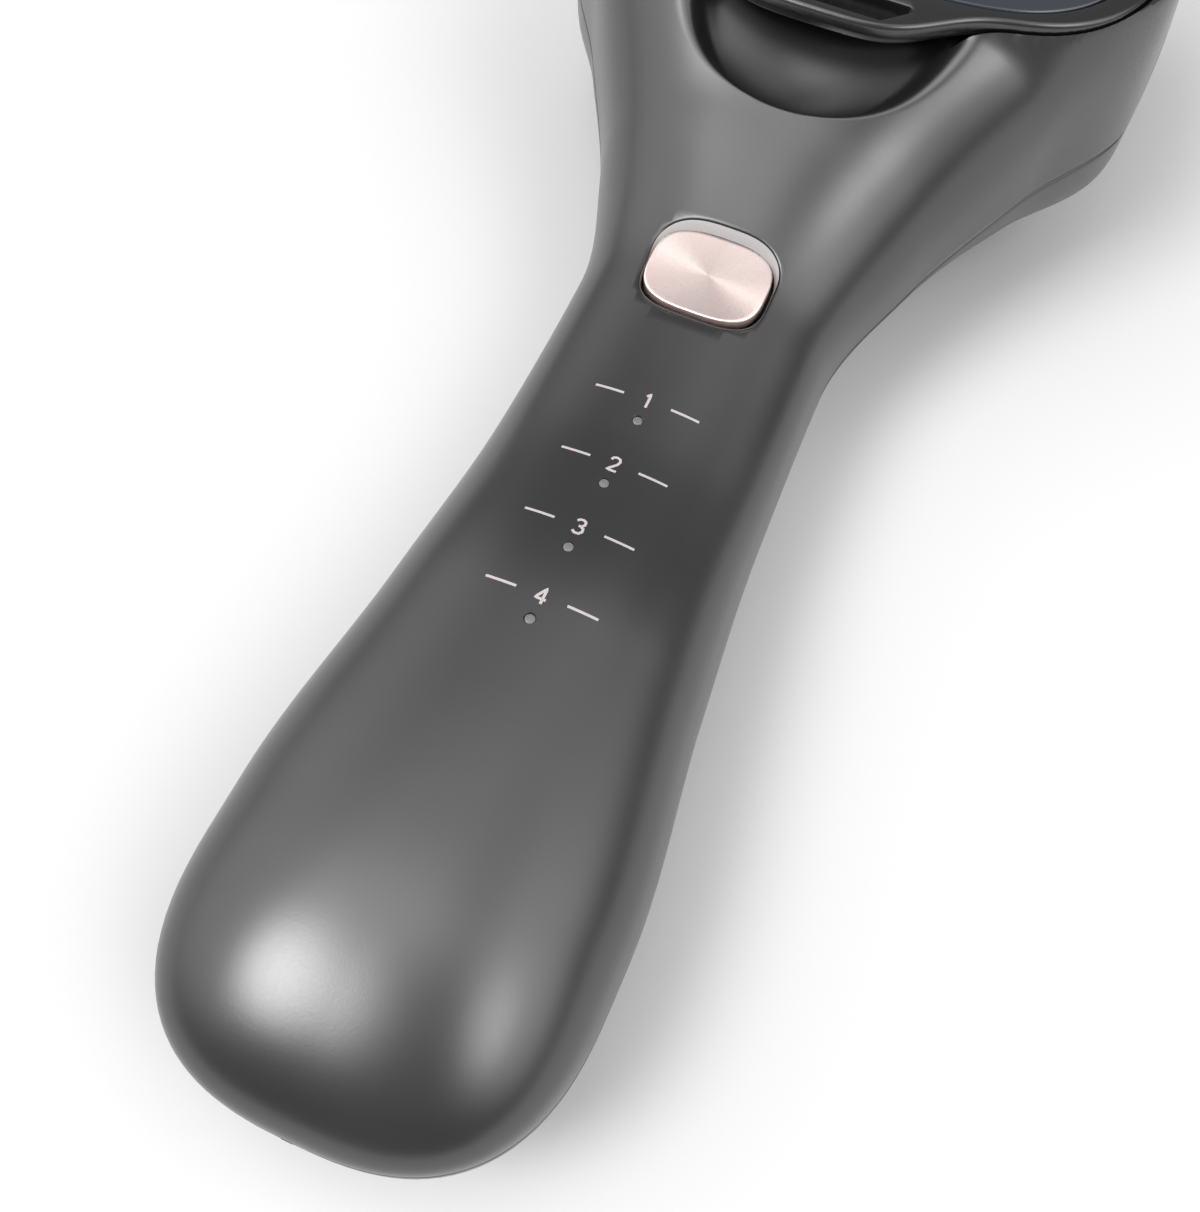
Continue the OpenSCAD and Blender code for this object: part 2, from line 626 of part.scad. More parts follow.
// The tray's block, grown by an amount all round
module tray_block(grow, z0, z1) {
    edge = pod_play + tray_wall + grow;
    round_block(pod_w + 2 * edge, pod_l + 2 * edge, pod_round + edge, head_y, z0, z1);
}
module upper_housing() color("#3f4042") difference() {
    union() {
        shell(false);
        for (p = butt_screws) rod(p, boss_r, section(p[1])[3] + seam_gap, butt_boss_top);
        for (p = head_screws) rod(p, boss_r, section(p[1])[3] + seam_gap, deck_z - wall / 2);
        for (p = board_screws_at) rod(p, post_r, board_z, section(p[1])[2] - wall);
    }
    slab(lid_outline(lid_play), deck_z, beyond);
    tray_block(0, tray_z, beyond);
    button_shape(button_play, -flange_z, beyond);
    for (y = light_ys) rod([0, y], light_r + snug, guide_z, beyond);
    for (p = butt_screws) rod(p, screw_r + snug, 0, butt_head_z + screw_len + bore_end);
    for (p = head_screws) rod(p, screw_r + snug, 0, head_seat_z + screw_len + bore_end);
    for (p = board_screws_at) rod(p, board_screw_r + snug, 0, board_z + board_screw_in + bore_end);
    for (p = magnet_spots) rod(p, magnet_r + snug, deck_z - magnet_t, beyond);
    box(hinge_half_w + loose, lid_far + lid_play / 2, body_len + 1, hinge_seat_z, beyond);
}
module lower_housing() color("#3a3b3d") difference() {
    union() {
        shell(true);
        for (p = butt_screws) rod(p, boss_r, butt_boss_z, section(p[1])[3] - seam_gap);
        for (p = head_screws) rod(p, boss_r, floor_z + wall / 2, section(p[1])[3] - seam_gap);
        for (p = cradle_feet) rod(p, cradle_foot_r, section(p[1])[4] + wall / 2, cradle_z);
    }
    slab(comb_outline(comb_step - loose), 0, comb_top + loose);
    for (p = butt_screws) {
        rod(p, screw_head_r + loose, 0, butt_head_z);
        rod(p, screw_r + loose, 0, beyond);
    }
    for (p = head_screws) {
        rod(p, screw_head_r + loose, 0, head_seat_z);
        rod(p, screw_r + loose, 0, beyond);
    }
    for (x = [-1, 1]) rod([x * contact_pitch / 2, contact_y], contact_r + snug, 0, contact_top);
    rod([0, foot_y], foot_r + snug, 0, foot_t);
}

module case_screws() color("silver") {
    for (p = butt_screws) screw(p, butt_head_z);
    for (p = head_screws) screw(p, head_seat_z);
}
module screw(spot, seat_z) {
    rod(spot, screw_head_r, seat_z - screw_head_t, seat_z);
    rod(spot, screw_r, seat_z - eps, seat_z + screw_len);
}
module screw_plugs() color("#2c2c2e")
    for (p = butt_screws) rod(p, screw_head_r + loose - snug, butt_boss_z, butt_head_z - screw_head_t);

// ---- button, lights and board --------------------------------------------

module mode_button() color("#d9a9a0") button_shape(0, -button_t, 0);
module button_plunger() color("#2a2a2c") {
    button_shape(-0.5, -flange_z, -button_t);
    button_shape(flange_w, -flange_z - flange_t, -flange_z + eps);
}
module switch_stem() color("#1d1d1f")
    at_button() rod([0, 0], stem_r, (stem_z - button_z) / cos(button_tilt), -flange_z - flange_t);
module mode_switch() color("#55585c") difference() {
    box(switch_w / 2, switch_y - switch_w / 2, switch_y + switch_w / 2, board_z, board_z + switch_h);
    rod([0, switch_y], stem_r + loose, board_z + switch_floor, beyond);
}
module light_guide() color("#c9ccd0") {
    for (y = light_ys) rod([0, y], light_r, guide_z, along(1, y) - 0.1);
    box(guide_w, light_ys[light_count - 1] - guide_w, light_y + guide_w, guide_z, guide_z + guide_t);
}
module indicator_leds() color("#f2f0e6")
    for (y = light_ys) box(led[0] / 2, y - led[1] / 2, y + led[1] / 2, board_z, board_z + led[2]);
module main_board() color("#1f5b3a") difference() {
    box(board_half_w, board_y0, board_y1, board_z - board_t, board_z);
    for (p = board_screws_at) rod(p, board_screw_r + loose / 2, 0, beyond);
}
module board_screws() color("silver") for (p = board_screws_at) {
    rod(p, post_r - 0.2, board_z - board_t - 1, board_z - board_t);
    rod(p, board_screw_r, board_z - board_t - eps, board_z + board_screw_in);
}

// ---- battery and charging ------------------------------------------------

module battery() color("#2f63a8") {
    rod_y(0, cell_z, cell_r, cell_y0, cell_y1 - cell_cap_t);
    rod_y(0, cell_z, cell_cap_r, cell_y1 - cell_cap_t - eps, cell_y1);
}
module battery_cradle() color("#26272a") difference() {
    y0 = cell_y0 - cell_play;
    y1 = cell_y1 + cell_play;
    box(cradle_half_w, y0 - cradle_wall, y1 + cradle_wall, cradle_z, cradle_top);
    rod_y(0, cell_z, cell_r + cell_play, y0, y1);
    box(cell_r + cell_play, y0, y1, cell_z, beyond);
}
module battery_leads() color("#b03030") {
    far = cell_y1 + cell_play + cradle_wall;
    for (x = [-cell_wire_x, cell_wire_x]) wire([[x, far + 0.65, cell_z - 3.5], [x, far + 1, cell_z + 0.5],
        [x, far + 2.4, cell_z + 3.1], [x, far + 4, board_z - board_t - 0.1]], wire_r);
}
module charge_contacts() color("#cfa75a")
    for (x = [-1, 1]) rod([x * contact_pitch / 2, contact_y], contact_r, contact_z, contact_top);
module charge_board() color("#1f5b3a")
    box(8, contact_y - 2.6, contact_y + 4.4, contact_top, contact_top + board_t);
module rest_foot() color("#2c2c2e") rod([0, foot_y], foot_r, 0, foot_t);

// ---- vibration motor -----------------------------------------------------

module vibration_motor() color("#b7babd") {
    rod_y(0, motor_z, motor_r, motor_y0, motor_y1);
    rod_y(0, motor_z, motor_shaft_r, motor_y1 - eps, weight_y1 + 0.6);
}
module motor_holder() color("#26272a") difference() {
    box(holder_w, motor_y0 + motor_bare, motor_y1 - 1, floor_z + wall, motor_z + holder_w);
    rod_y(0, motor_z, motor_r + snug, 0, body_len);
}
module eccentric_weight() color("#8c8f94") difference() {
    intersection() {
        rod_y(0, motor_z, weight_r, weight_y0, weight_y1);
        box(weight_r, weight_y0, weight_y1, motor_z - weight_r, motor_z + weight_top);
    }
    rod_y(0, motor_z, motor_shaft_r + snug, 0, body_len);
}
// The wires meet the far edge of the main board at half its thickness
board_edge = [board_y1 + 0.1, board_z - board_t / 2];
module motor_leads() color("#b03030") for (x = [-motor_wire_x, motor_wire_x])
    wire([[x, motor_y0 - 0.1, motor_z + 1], [x, motor_y0 - 4, motor_z + 1.2],
          [x, (motor_y0 + board_y1) / 2, motor_z + 1.5], [x, board_edge[0] + 4.9, board_z + 0.3],
          [x, board_edge[0], board_edge[1]]], wire_r);
module light_leads() color("#8a8d91") for (x = [-light_wire_x, light_wire_x])
    wire([[x, head_y - lamp_half[1] - 0.1, lamp_z + board_t / 2],
          [x, head_y - lamp_half[1] - 4, lamp_z + 0.4],
          [x, motor_y0, floor_z + wall + 2.4], [x, throat_y + 2, board_z - 4],
          [x, board_edge[0] + 4.9, board_z - 1], [x, board_edge[0], board_edge[1]]], wire_r);

// ---- comb plate, tines and light -----------------------------------------

function comb_outline(inset) = superellipse(comb_half_w - inset, comb_half_l - inset, comb_square, head_y);
module comb_plate() color("#333437") difference() {
    union() {
        slab(comb_outline(0), comb_z, comb_z + comb_t);
        slab(comb_outline(comb_step), comb_z, comb_top);
    }
    rod([0, head_y], lens_r + 2 * snug, 0, beyond);
    for (p = nozzle_spots) rod(p, sleeve_r + snug, 0, beyond);
}
module comb_gasket() color("#1d1d1f") difference() {
    slab(comb_outline(0.6), comb_z + comb_t, floor_z);
    slab(comb_outline(comb_step - 1.8), 0, beyond);
}
// Staggered rows of tines, without those that would meet a nozzle or the lens
function clear_of(p, spots, gap) = min([for (q = spots) norm(p - q)]) > gap;
function inside_comb(p) =
    pow(abs(p[0]) / (comb_half_w - tine_margin), 3)
    + pow(abs(p[1] - head_y) / (comb_half_l - tine_margin), 3) < 1;
tine_spots = [for (r = [-3 : 3], c = [-4 : 4])
    let (p = [(c + (abs(r) % 2) / 2) * tine_pitch_x, head_y + r * tine_pitch_y])
    if (inside_comb(p) && clear_of(p, nozzle_spots, 6.9) && clear_of(p, [[0, head_y]], lens_r + 4)) p];
module massage_tines() color("#47474b") for (p = tine_spots) translate([p[0], p[1], 0]) tine();
module tine() rotate_extrude() polygon(concat([[0, comb_z], [0, 0]],
    [for (a = [30 : 30 : 90]) [tine_tip_r * sin(a), tine_tip_r * (1 - cos(a))]],
    [[tine_root_r, comb_z - tine_foot_t], [tine_root_r + 0.9, comb_z - tine_foot_t / 2],
     [tine_root_r + 0.9, comb_z]]));
module light_lens() color("#b5463c") {
    rod([0, head_y], lens_r, comb_z - 0.4, comb_top);
    rod([0, head_y], lens_r + lens_rim, comb_top, comb_top + lens_rim_t);
}
module light_board() color("#1f5b3a") {
    box(lamp_half[0], head_y - lamp_half[1], head_y + lamp_half[1], lamp_z, lamp_z + board_t);
    for (p = lamp_legs) rod(p, lamp_leg_r, comb_top, lamp_z + eps);
}
module light_leds() color("#f2e9d8") for (a = [0 : 60 : 300])
    translate([lamp_ring * cos(a) - lamp_led[0] / 2, head_y + lamp_ring * sin(a) - lamp_led[1] / 2,
               lamp_z - lamp_led[2]]) cube(lamp_led);

// ---- nozzles -------------------------------------------------------------

module nozzle_sleeves() color("#d8d9db") for (p = nozzle_spots) difference() {
    union() {
        rod(p, sleeve_r, comb_z, comb_top + eps);
        rod(p, sleeve_r + sleeve_rim, comb_top, manifold_z);
    }
    rod(p, nozzle_r + nozzle_play, 0, beyond);
    rod(p, collar_r + nozzle_play, sleeve_step, beyond);
}
module nozzle(i) color("#c9ccd0") let (p = nozzle_spots[i], low = comb_z - nozzle_reach + nozzle_r)
    difference() {
        union() {
            translate([p[0], p[1], low]) sphere(nozzle_r);
            rod(p, nozzle_r, low, collar_z + eps);
            rod(p, collar_r, collar_z, collar_top);
        }
        rod(p, channel_r, -1, beyond);
    }
module nozzle_spring(i) color("silver") let (p = nozzle_spots[i]) difference() {
    rod(p, spring_r, collar_top, manifold_z);
    rod(p, spring_r - spring_wall, 0, beyond);
}
module nozzle_1() nozzle(0);
module nozzle_2() nozzle(1);
module nozzle_3() nozzle(2);
module nozzle_4() nozzle(3);
module nozzle_spring_1() nozzle_spring(0);
module nozzle_spring_2() nozzle_spring(1);
module nozzle_spring_3() nozzle_spring(2);
module nozzle_spring_4() nozzle_spring(3);

// ---- serum pod -----------------------------------------------------------

spigot_spots = [for (x = [-spigot_x, spigot_x]) [x, head_y]];
module feed_manifold() color("#9fb4bd") difference() {
    round_block(2 * (nozzle_x + manifold_edge), 2 * (nozzle_dy + manifold_edge), 4, head_y,
                manifold_z, tray_z);
    for (p = nozzle_spots) rod(p, 1, 0, manifold_z + 3.4);
    for (p = spigot_spots) rod(p, spigot_tail_r + 2 * snug, manifold_z + 1.2, beyond);
}
module pod_tray() color("#2f3033") difference() {
    union() {
        tray_block(-2 * snug, tray_z, deck_z);
        tray_block(tray_rim, deck_z - wall - tray_rim_t, deck_z - wall);
    }
    tray_block(-tray_wall, tray_z + tray_wall, beyond);
    for (p = spigot_spots) rod(p, spigot_r + 2 * snug, 0, beyond);
}
module pod_body() color("#c7d3d8") difference() {
    round_block(pod_w, pod_l, pod_round, head_y, pod_z, pod_top - pod_wall);
    round_block(pod_w - 2 * pod_wall, pod_l - 2 * pod_wall, pod_round - pod_wall, head_y,
                pod_z + pod_wall, beyond);
    for (p = spigot_spots) rod(p, 1, 0, beyond);
}
module pod_cover() color("#dfe6e9") difference() {
    round_block(pod_w, pod_l, pod_round, head_y, pod_top - pod_wall, pod_top);
    rod([0, head_y + plug_dy], plug_r + 2 * snug, 0, beyond);
}
module pod_plug() color("#54575b") {
    rod([0, head_y + plug_dy], plug_r, pod_top - pod_wall - 1.6, pod_top + eps);
    rod([0, head_y + plug_dy], plug_r + 1.2, pod_top, pod_top + 0.8);
}
module pod_spigots() color("#54575b") for (p = spigot_spots) difference() {
    union() {
        rod(p, spigot_tail_r, tray_z - spigot_tail, tray_z + eps);
        rod(p, spigot_r, tray_z, pod_z);
    }
    rod(p, 0.8, 0, beyond);
}

// ---- lid -----------------------------------------------------------------

module lid_frame() color("#303134") difference() {
    union() {
        slab(lid_outline(), lid_z, lid_z + lid_t);
        rod_x(hinge_y, hinge_z, hinge_r, -lid_barrel_half_w, lid_barrel_half_w);
        box(lid_barrel_half_w, lid_far - 1, hinge_y, hinge_z - hinge_web, hinge_z + hinge_web);
    }
    rod_x(hinge_y, hinge_z, hinge_pin_r + 0.06, -beyond, beyond);
    slab(superellipse(panel_half_w + panel_play, panel_half_l + panel_play, panel_square, panel_y),
         panel_z, beyond);
    slab(slot_outline(), 0, beyond);
    for (p = magnet_spots) rod(p, magnet_r + snug, 0, lid_z + magnet_t);
}
// The slot widens towards the panel
function slot_outline() = let (y = lid_y - lid_half_l - tab_len + slot_edge, w = slot_w / 2)
    [[-w, y], [w, y], [w + slot_d, y + slot_d], [-w - slot_d, y + slot_d]];
module lid_panel() color("#3c4048")
    slab(superellipse(panel_half_w, panel_half_l, panel_square, panel_y), panel_z, panel_z + panel_t);
module lid_seal() color("#1d1d1f") difference() {
    tray_block(tray_rim, lid_z - lid_gap + 0.2, lid_z);
    tray_block(0.5, 0, beyond);
}
module lid_magnets() color("silver") for (p = magnet_spots) rod(p, magnet_r, lid_z, lid_z + magnet_t);
module deck_magnets() color("silver") for (p = magnet_spots) rod(p, magnet_r, deck_z - magnet_t, deck_z);
module hinge_bracket() color("#303134") for (s = [-1, 1]) difference() {
    x0 = s > 0 ? lid_barrel_half_w + loose : -hinge_half_w;
    x1 = s > 0 ? hinge_half_w : -lid_barrel_half_w - loose;
    union() {
        rod_x(hinge_y, hinge_z, hinge_r, x0, x1);
        translate([x0, hinge_y - hinge_r + 0.2, hinge_seat_z])
            cube([x1 - x0, hinge_r - 0.6, hinge_z - hinge_seat_z]);
    }
    rod_x(hinge_y, hinge_z, hinge_pin_r, -beyond, beyond);
}
module hinge_pin() color("silver") rod_x(hinge_y, hinge_z, hinge_pin_r, -hinge_half_w, hinge_half_w);

placed() upper_housing();
placed() lower_housing();
placed() mode_button();
placed() button_plunger();
placed() switch_stem();
placed() mode_switch();
placed() light_guide();
placed() indicator_leds();
placed() main_board();
placed() board_screws();
placed() battery();
placed() battery_cradle();
placed() battery_leads();
placed() charge_contacts();
placed() charge_board();
placed() rest_foot();
placed() case_screws();
placed() screw_plugs();
placed() vibration_motor();
placed() motor_holder();
placed() eccentric_weight();
placed() motor_leads();
placed() light_leads();
placed() comb_plate();
placed() comb_gasket();
placed() massage_tines();
placed() light_lens();
placed() light_board();
placed() light_leds();
placed() nozzle_sleeves();
placed() nozzle_1();
placed() nozzle_2();
placed() nozzle_3();
placed() nozzle_4();
placed() nozzle_spring_1();
placed() nozzle_spring_2();
placed() nozzle_spring_3();
placed() nozzle_spring_4();
placed() feed_manifold();
placed() pod_tray();
placed() pod_body();
placed() pod_cover();
placed() pod_plug();
placed() pod_spigots();
placed() lid_frame();
placed() lid_panel();
placed() lid_seal();
placed() lid_magnets();
placed() deck_magnets();
placed() hinge_bracket();
placed() hinge_pin();
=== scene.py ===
"""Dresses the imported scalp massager: visible shells, lid, button, lights, comb and finishes."""

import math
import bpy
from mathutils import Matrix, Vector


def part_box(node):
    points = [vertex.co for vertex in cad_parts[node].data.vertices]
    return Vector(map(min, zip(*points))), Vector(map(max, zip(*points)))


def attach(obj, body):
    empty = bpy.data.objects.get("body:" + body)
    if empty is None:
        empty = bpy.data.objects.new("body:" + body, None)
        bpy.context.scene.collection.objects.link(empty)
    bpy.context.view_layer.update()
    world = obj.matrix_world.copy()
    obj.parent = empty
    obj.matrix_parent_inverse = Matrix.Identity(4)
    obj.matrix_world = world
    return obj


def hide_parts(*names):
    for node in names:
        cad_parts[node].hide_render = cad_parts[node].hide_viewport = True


bl_info = {
    "name": "Scalp massager",
    "version": (1, 0, 0),
    "blender": (4, 5, 0),
    "location": "View3D > Sidebar > Massager",
    "description": "Builds the visible pieces and finishes of an electric scalp massager",
    "category": "Object",
}

import bmesh
import bpy
import numpy as np
from bpy.props import FloatProperty, FloatVectorProperty, IntProperty, PointerProperty
from mathutils import Matrix, Vector

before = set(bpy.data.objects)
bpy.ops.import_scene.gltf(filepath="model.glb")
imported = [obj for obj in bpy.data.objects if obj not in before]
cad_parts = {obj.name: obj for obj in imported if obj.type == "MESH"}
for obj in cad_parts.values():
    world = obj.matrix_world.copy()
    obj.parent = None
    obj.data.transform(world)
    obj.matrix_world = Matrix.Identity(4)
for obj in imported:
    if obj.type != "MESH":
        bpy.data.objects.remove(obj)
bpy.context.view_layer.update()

# ---- numbers, in millimetres, with y counted from the end of the butt ----

MM = 0.001
LENGTH = 232.0
WALL = 2.2
SEAM_GAP = 0.2
BUTT_LENGTH, NOSE_LENGTH = 25.0, 28.0
NECK_Y, THROAT_Y, SHOULDER_Y, BROW_Y, HEAD_Y = 107.0, 128.0, 147.0, 166.0, 188.0
GRIP_Y = 58.0 + (NECK_Y - 58.0) * 0.51
# Stations along the body and, at each, half width, top, seam and underside
STATIONS = np.array([0.0, 30.0, 58.0, GRIP_Y, NECK_Y, THROAT_Y, SHOULDER_Y, BROW_Y, HEAD_Y + 7.0])
SECTIONS = np.array([
    (23.0, 30.5, 20.5, 1.0), (23.0, 32.0, 16.0, 1.0), (20.0, 32.0, 15.5, 3.0),
    (18.0, 30.0, 16.0, 7.0), (17.5, 32.0, 17.5, 13.0), (23.0, 39.5, 19.0, 14.0),
    (32.5, 49.0, 23.0, 13.0), (42.5, 53.5, 24.0, 10.0), (44.0, 54.0, 22.5, 10.0)])
HEAD_STARTS, HEAD_FULL = THROAT_Y - 10.0, BROW_Y - 1.0
HEAD_FLARE, CORNER_FILL = 2.5, 10.0
SQUARE_UP, SQUARE_DOWN = (2.5, 5.0), (2.35, 4.5)
CREST_Z, DECK_Z, FLOOR_Z = 48.5, 45.0, 13.0
SCOOP_HALF, SCOOP_REACH, SCOOP_DEPTH, SCOOP_SLOPE = 21.0, 17.6, 9.0, 1.5
FRONT_LIP, SIDE_LIP = 2.2, 6.0
FRONT_POWER, SIDE_POWER = 0.5, 1.15
SCOOP_END = SHOULDER_Y + 4.5
LID_HALF, LID_REACH, LID_SQUARE, LID_FAR = 39.5, 40.2, 3.9, LENGTH - 6.5
LID_Y = LID_FAR - LID_REACH
LID_Z, LID_TOP = 45.6, 49.0
TAB_LENGTH, TAB_HALF, TAB_SQUARE = 7.3, 15.8, 4.1
TAB_FRONT = LID_Y - LID_REACH - TAB_LENGTH
PANEL_HALF, PANEL_REACH, PANEL_SQUARE = 36.3, 37.5, 3.65
PANEL_Y = LID_FAR - 3.8 - PANEL_REACH
PANEL_Z, PANEL_TOP, PANEL_GAP = 47.1, 48.9, 0.35
SLOT_Y, SLOT_HALF, SLOT_DEPTH = TAB_FRONT + 1.8, 8.0, 3.9
HINGE_Y, HINGE_Z, HINGE_R, PIN_R = 227.9, 47.3, 2.1, 0.9
BARREL_HALF, BRACKET_HALF, BRACKET_SEAT = 9.0, 17.0, 44.1
BUTTON_HALF, BUTTON_REACH, BUTTON_SQUARE = 7.65, 5.8, 3.1
BUTTON_THICK, BUTTON_PLAY, BUTTON_Z = 1.6, 0.35, 32.45
BUTTON_TILT = math.radians(7.803)
RING_DEPTH = 1.5
LIGHTS_Y = [84.8, 74.8, 64.8, 54.8]
LIGHT_R = 0.6
MAGNETS = [(x, LID_Y - LID_REACH + 5.5) for x in (-24.0, 24.0)]
COMB_HALF, COMB_REACH, COMB_SQUARE = 37.0, 33.5, 3.0
COMB_Z, COMB_FLANGE, COMB_TOP, COMB_STEP = 10.9, 1.6, 15.4, 8.0
LENS_R = 9.0
NOZZLES = [(x, HEAD_Y + y) for x in (-19.0, 19.0) for y in (-15.0, 15.0)]
SLEEVE_R = 3.03
TINE_PITCH = (9.4, 8.3)
TINE_TIP, TINE_ROOT, TINE_FOOT = 1.4, 2.3, 3.2
TRAY = (55.6, 49.6, 9.8)                        # opening over the pod's tray: width, length, corner radius
FOOT, FOOT_R = (0.0, 40.0), 8.0
PLUGS, PLUG_R = [(x, 24.0) for x in (-12.5, 12.5)], 2.15
PINS, PIN_HOLE_R = [(x, 11.0) for x in (-5.0, 5.0)], 1.65
MAGNET_SEAT_R, MAGNET_SEAT = 2.05, 1.2
ABOVE = 60.0                                    # height over every piece, to which cutters reach


def place(points):
    """Points in millimetres from the butt, as row frame metres."""
    moved = np.array(points, float).reshape(-1, 3) - (0.0, LENGTH / 2, 0.0)
    return moved * MM


# ---- the body's surface ----

def secant(column, i):
    return (SECTIONS[i + 1, column] - SECTIONS[i, column]) / (STATIONS[i + 1] - STATIONS[i])


def slope(column, i):
    if i == 0:
        return secant(column, 0)
    if i == len(STATIONS) - 1 or secant(column, i - 1) * secant(column, i) <= 0:
        return 0.0
    before, after = STATIONS[i] - STATIONS[i - 1], STATIONS[i + 1] - STATIONS[i]
    return 3 * (before + after) / ((2 * after + before) / secant(column, i - 1)
                                   + (after + 2 * before) / secant(column, i))


SLOPES = np.array([[slope(column, i) for i in range(len(STATIONS))] for column in range(4)])


def along(column, y):
    """Smooth curve through the stations, without overshoot."""
    y = np.asarray(y, float)
    i = np.clip(np.searchsorted(STATIONS, y, side="right") - 1, 0, len(STATIONS) - 2)
    step = STATIONS[i + 1] - STATIONS[i]
    t = np.minimum((y - STATIONS[i]) / step, 1.0)
    u = 1.0 - t
    return ((1 + 2 * t) * u * u * SECTIONS[i, column] + t * u * u * step * SLOPES[column, i]
            + t * t * (3 - 2 * t) * SECTIONS[i + 1, column]
            - t * t * u * step * SLOPES[column, i + 1])


def ease(start, end, y):
    t = np.clip((np.asarray(y, float) - start) / (end - start), 0.0, 1.0)
    return t * t * (3 - 2 * t)


def end_round(distance, length, n):
    inside = 1 - np.clip(distance, 0.0, length) / length
    return (1 - inside ** n) ** (1 / n)


def section(y):
    """Half width, flare, top, seam, underside and the two squarenesses at y."""
    seam = along(2, y)
    mix = ease(HEAD_STARTS, HEAD_FULL, y)
    far = end_round(LENGTH - y, NOSE_LENGTH, 3.0)
    plan = end_round(y, BUTT_LENGTH, 2.66) * far
    rise = end_round(y, BUTT_LENGTH, 2.2) * far
    top = along(1, y) + CORNER_FILL * ease(SHOULDER_Y - 3, SHOULDER_Y + 7, y)
    return (along(0, y) * plan, HEAD_FLARE * ease(SHOULDER_Y, HEAD_Y, y) * plan,
            seam + (top - seam) * rise, seam, seam - (seam - along(3, y)) * rise,
            SQUARE_UP[0] + (SQUARE_UP[1] - SQUARE_UP[0]) * mix,
            SQUARE_DOWN[0] + (SQUARE_DOWN[1] - SQUARE_DOWN[0]) * mix)


def scoop_depth(x, y, grow=0.0):
    """Depth of the finger scoop: steep below its front lip, and a wide soft bowl at its sides."""
    u, v = x / (SCOOP_HALF + grow), np.minimum(y - SHOULDER_Y, 0.0) / (SCOOP_REACH + grow)
    r = np.minimum(np.sqrt(u * u + v * v), 1.0)
    sideways = u * u / np.maximum(r * r, 0.01)
    front, side = FRONT_LIP / SCOOP_REACH, SIDE_LIP / SCOOP_HALF
    soft = 1.0 if grow > 0 else ease(0.0, 1.0, (1 - r) / (front + (side - front) * sideways))
    end = np.clip((SCOOP_END + grow + SCOOP_SLOPE - y) / SCOOP_SLOPE, 0.0, 1.0)
    return SCOOP_DEPTH * (1 - r * r) ** (FRONT_POWER + (SIDE_POWER - FRONT_POWER) * sideways) * soft * end


def soft_min(a, b, blend):
    """The lesser of two heights, with a rounded change from one to the other."""
    h = np.clip(0.5 + 0.5 * (b - a) / blend, 0.0, 1.0)
    return b * (1 - h) + a * h - blend * h * (1 - h)


def upper_point(y, u, c, skin):
    """Point of the upper surface. u is the rise from 0 to 1 and c the cosine term with its sign."""
    half, flare, top, seam = section(y)[:4]
    x = np.sign(c) * ((half - flare - skin) * np.abs(c) + flare * (1 - u) ** 2)
    z = seam + SEAM_GAP / 2 + (top - seam - SEAM_GAP / 2 - skin) * u
    z = soft_min(z, DECK_Z - WALL if skin > 0 else CREST_Z, 0.8)
    return x, z - np.minimum(scoop_depth(x, y, skin), np.maximum(z - seam - 4, 0.0))


def top_height(x, y):
    """Height of the upper surface over x and y, without the scoop."""
    half, flare, top, seam, _, n, _ = (float(v) for v in section(y))
    low, high = 0.0, 1.0
    for _ in range(40):
        u = (low + high) / 2
        wide = (half - flare) * (1 - u ** n) ** (1 / n) + flare * (1 - u) ** 2
        low, high = (u, high) if wide > abs(x) else (low, u)
    z = seam + SEAM_GAP / 2 + (top - seam - SEAM_GAP / 2) * low
    return float(soft_min(z, CREST_Z, 0.8))


# ---- outlines ----

def superellipse(half, reach, n, y, count=1440):
    t = np.linspace(0, 2 * math.pi, count, endpoint=False)
    c, s = np.cos(t), np.sin(t)
    return np.stack([half * np.sign(c) * np.abs(c) ** (2 / n),
                     y + reach * np.sign(s) * np.abs(s) ** (2 / n)], -1)


def plan(half, reach, n, y, count):
    """Superellipse with its points at equal angles."""
    return by_angle(superellipse(half, reach, n, y), (0, y), count)


def lid_outline():
    """Rounded square whose front edge swells into the finger tab."""
    points = superellipse(LID_HALF, LID_REACH, LID_SQUARE, LID_Y)
    front = points[:, 1] < LID_Y
    swell = TAB_LENGTH * np.exp(-(np.abs(points[:, 0]) / TAB_HALF) ** TAB_SQUARE)
    edge = ease(0.0, 0.9, (LID_Y - points[:, 1]) / LID_REACH)
    points[:, 1] -= np.where(front, swell * edge, 0.0)
    return points


def rounded_polygon(corners, radius, steps=8):
    """Outline of a convex polygon, counterclockwise, with round corners."""
    made = []
    count = len(corners)
    for i in range(count):
        here = np.array(corners[i], float)
        before = np.array(corners[i - 1], float) - here
        after = np.array(corners[(i + 1) % count], float) - here
        before, after = before / np.linalg.norm(before), after / np.linalg.norm(after)
        half = math.acos(np.clip(before @ after, -1, 1)) / 2
        middle = here + (before + after) / np.linalg.norm(before + after) * radius / math.sin(half)
        start = here + before * radius / math.tan(half) - middle
        end = here + after * radius / math.tan(half) - middle
        a0, a1 = math.atan2(start[1], start[0]), math.atan2(end[1], end[0])
        turn = (a1 - a0) % (2 * math.pi)
        for k in range(steps + 1):
            a = a0 + turn * k / steps
            made.append(middle + radius * np.array([math.cos(a), math.sin(a)]))
    return np.array(made)


def round_block(width, length, radius, y, steps=10):
    w, h = width / 2, length / 2
    return rounded_polygon([(-w, y - h), (w, y - h), (w, y + h), (-w, y + h)], radius, steps)


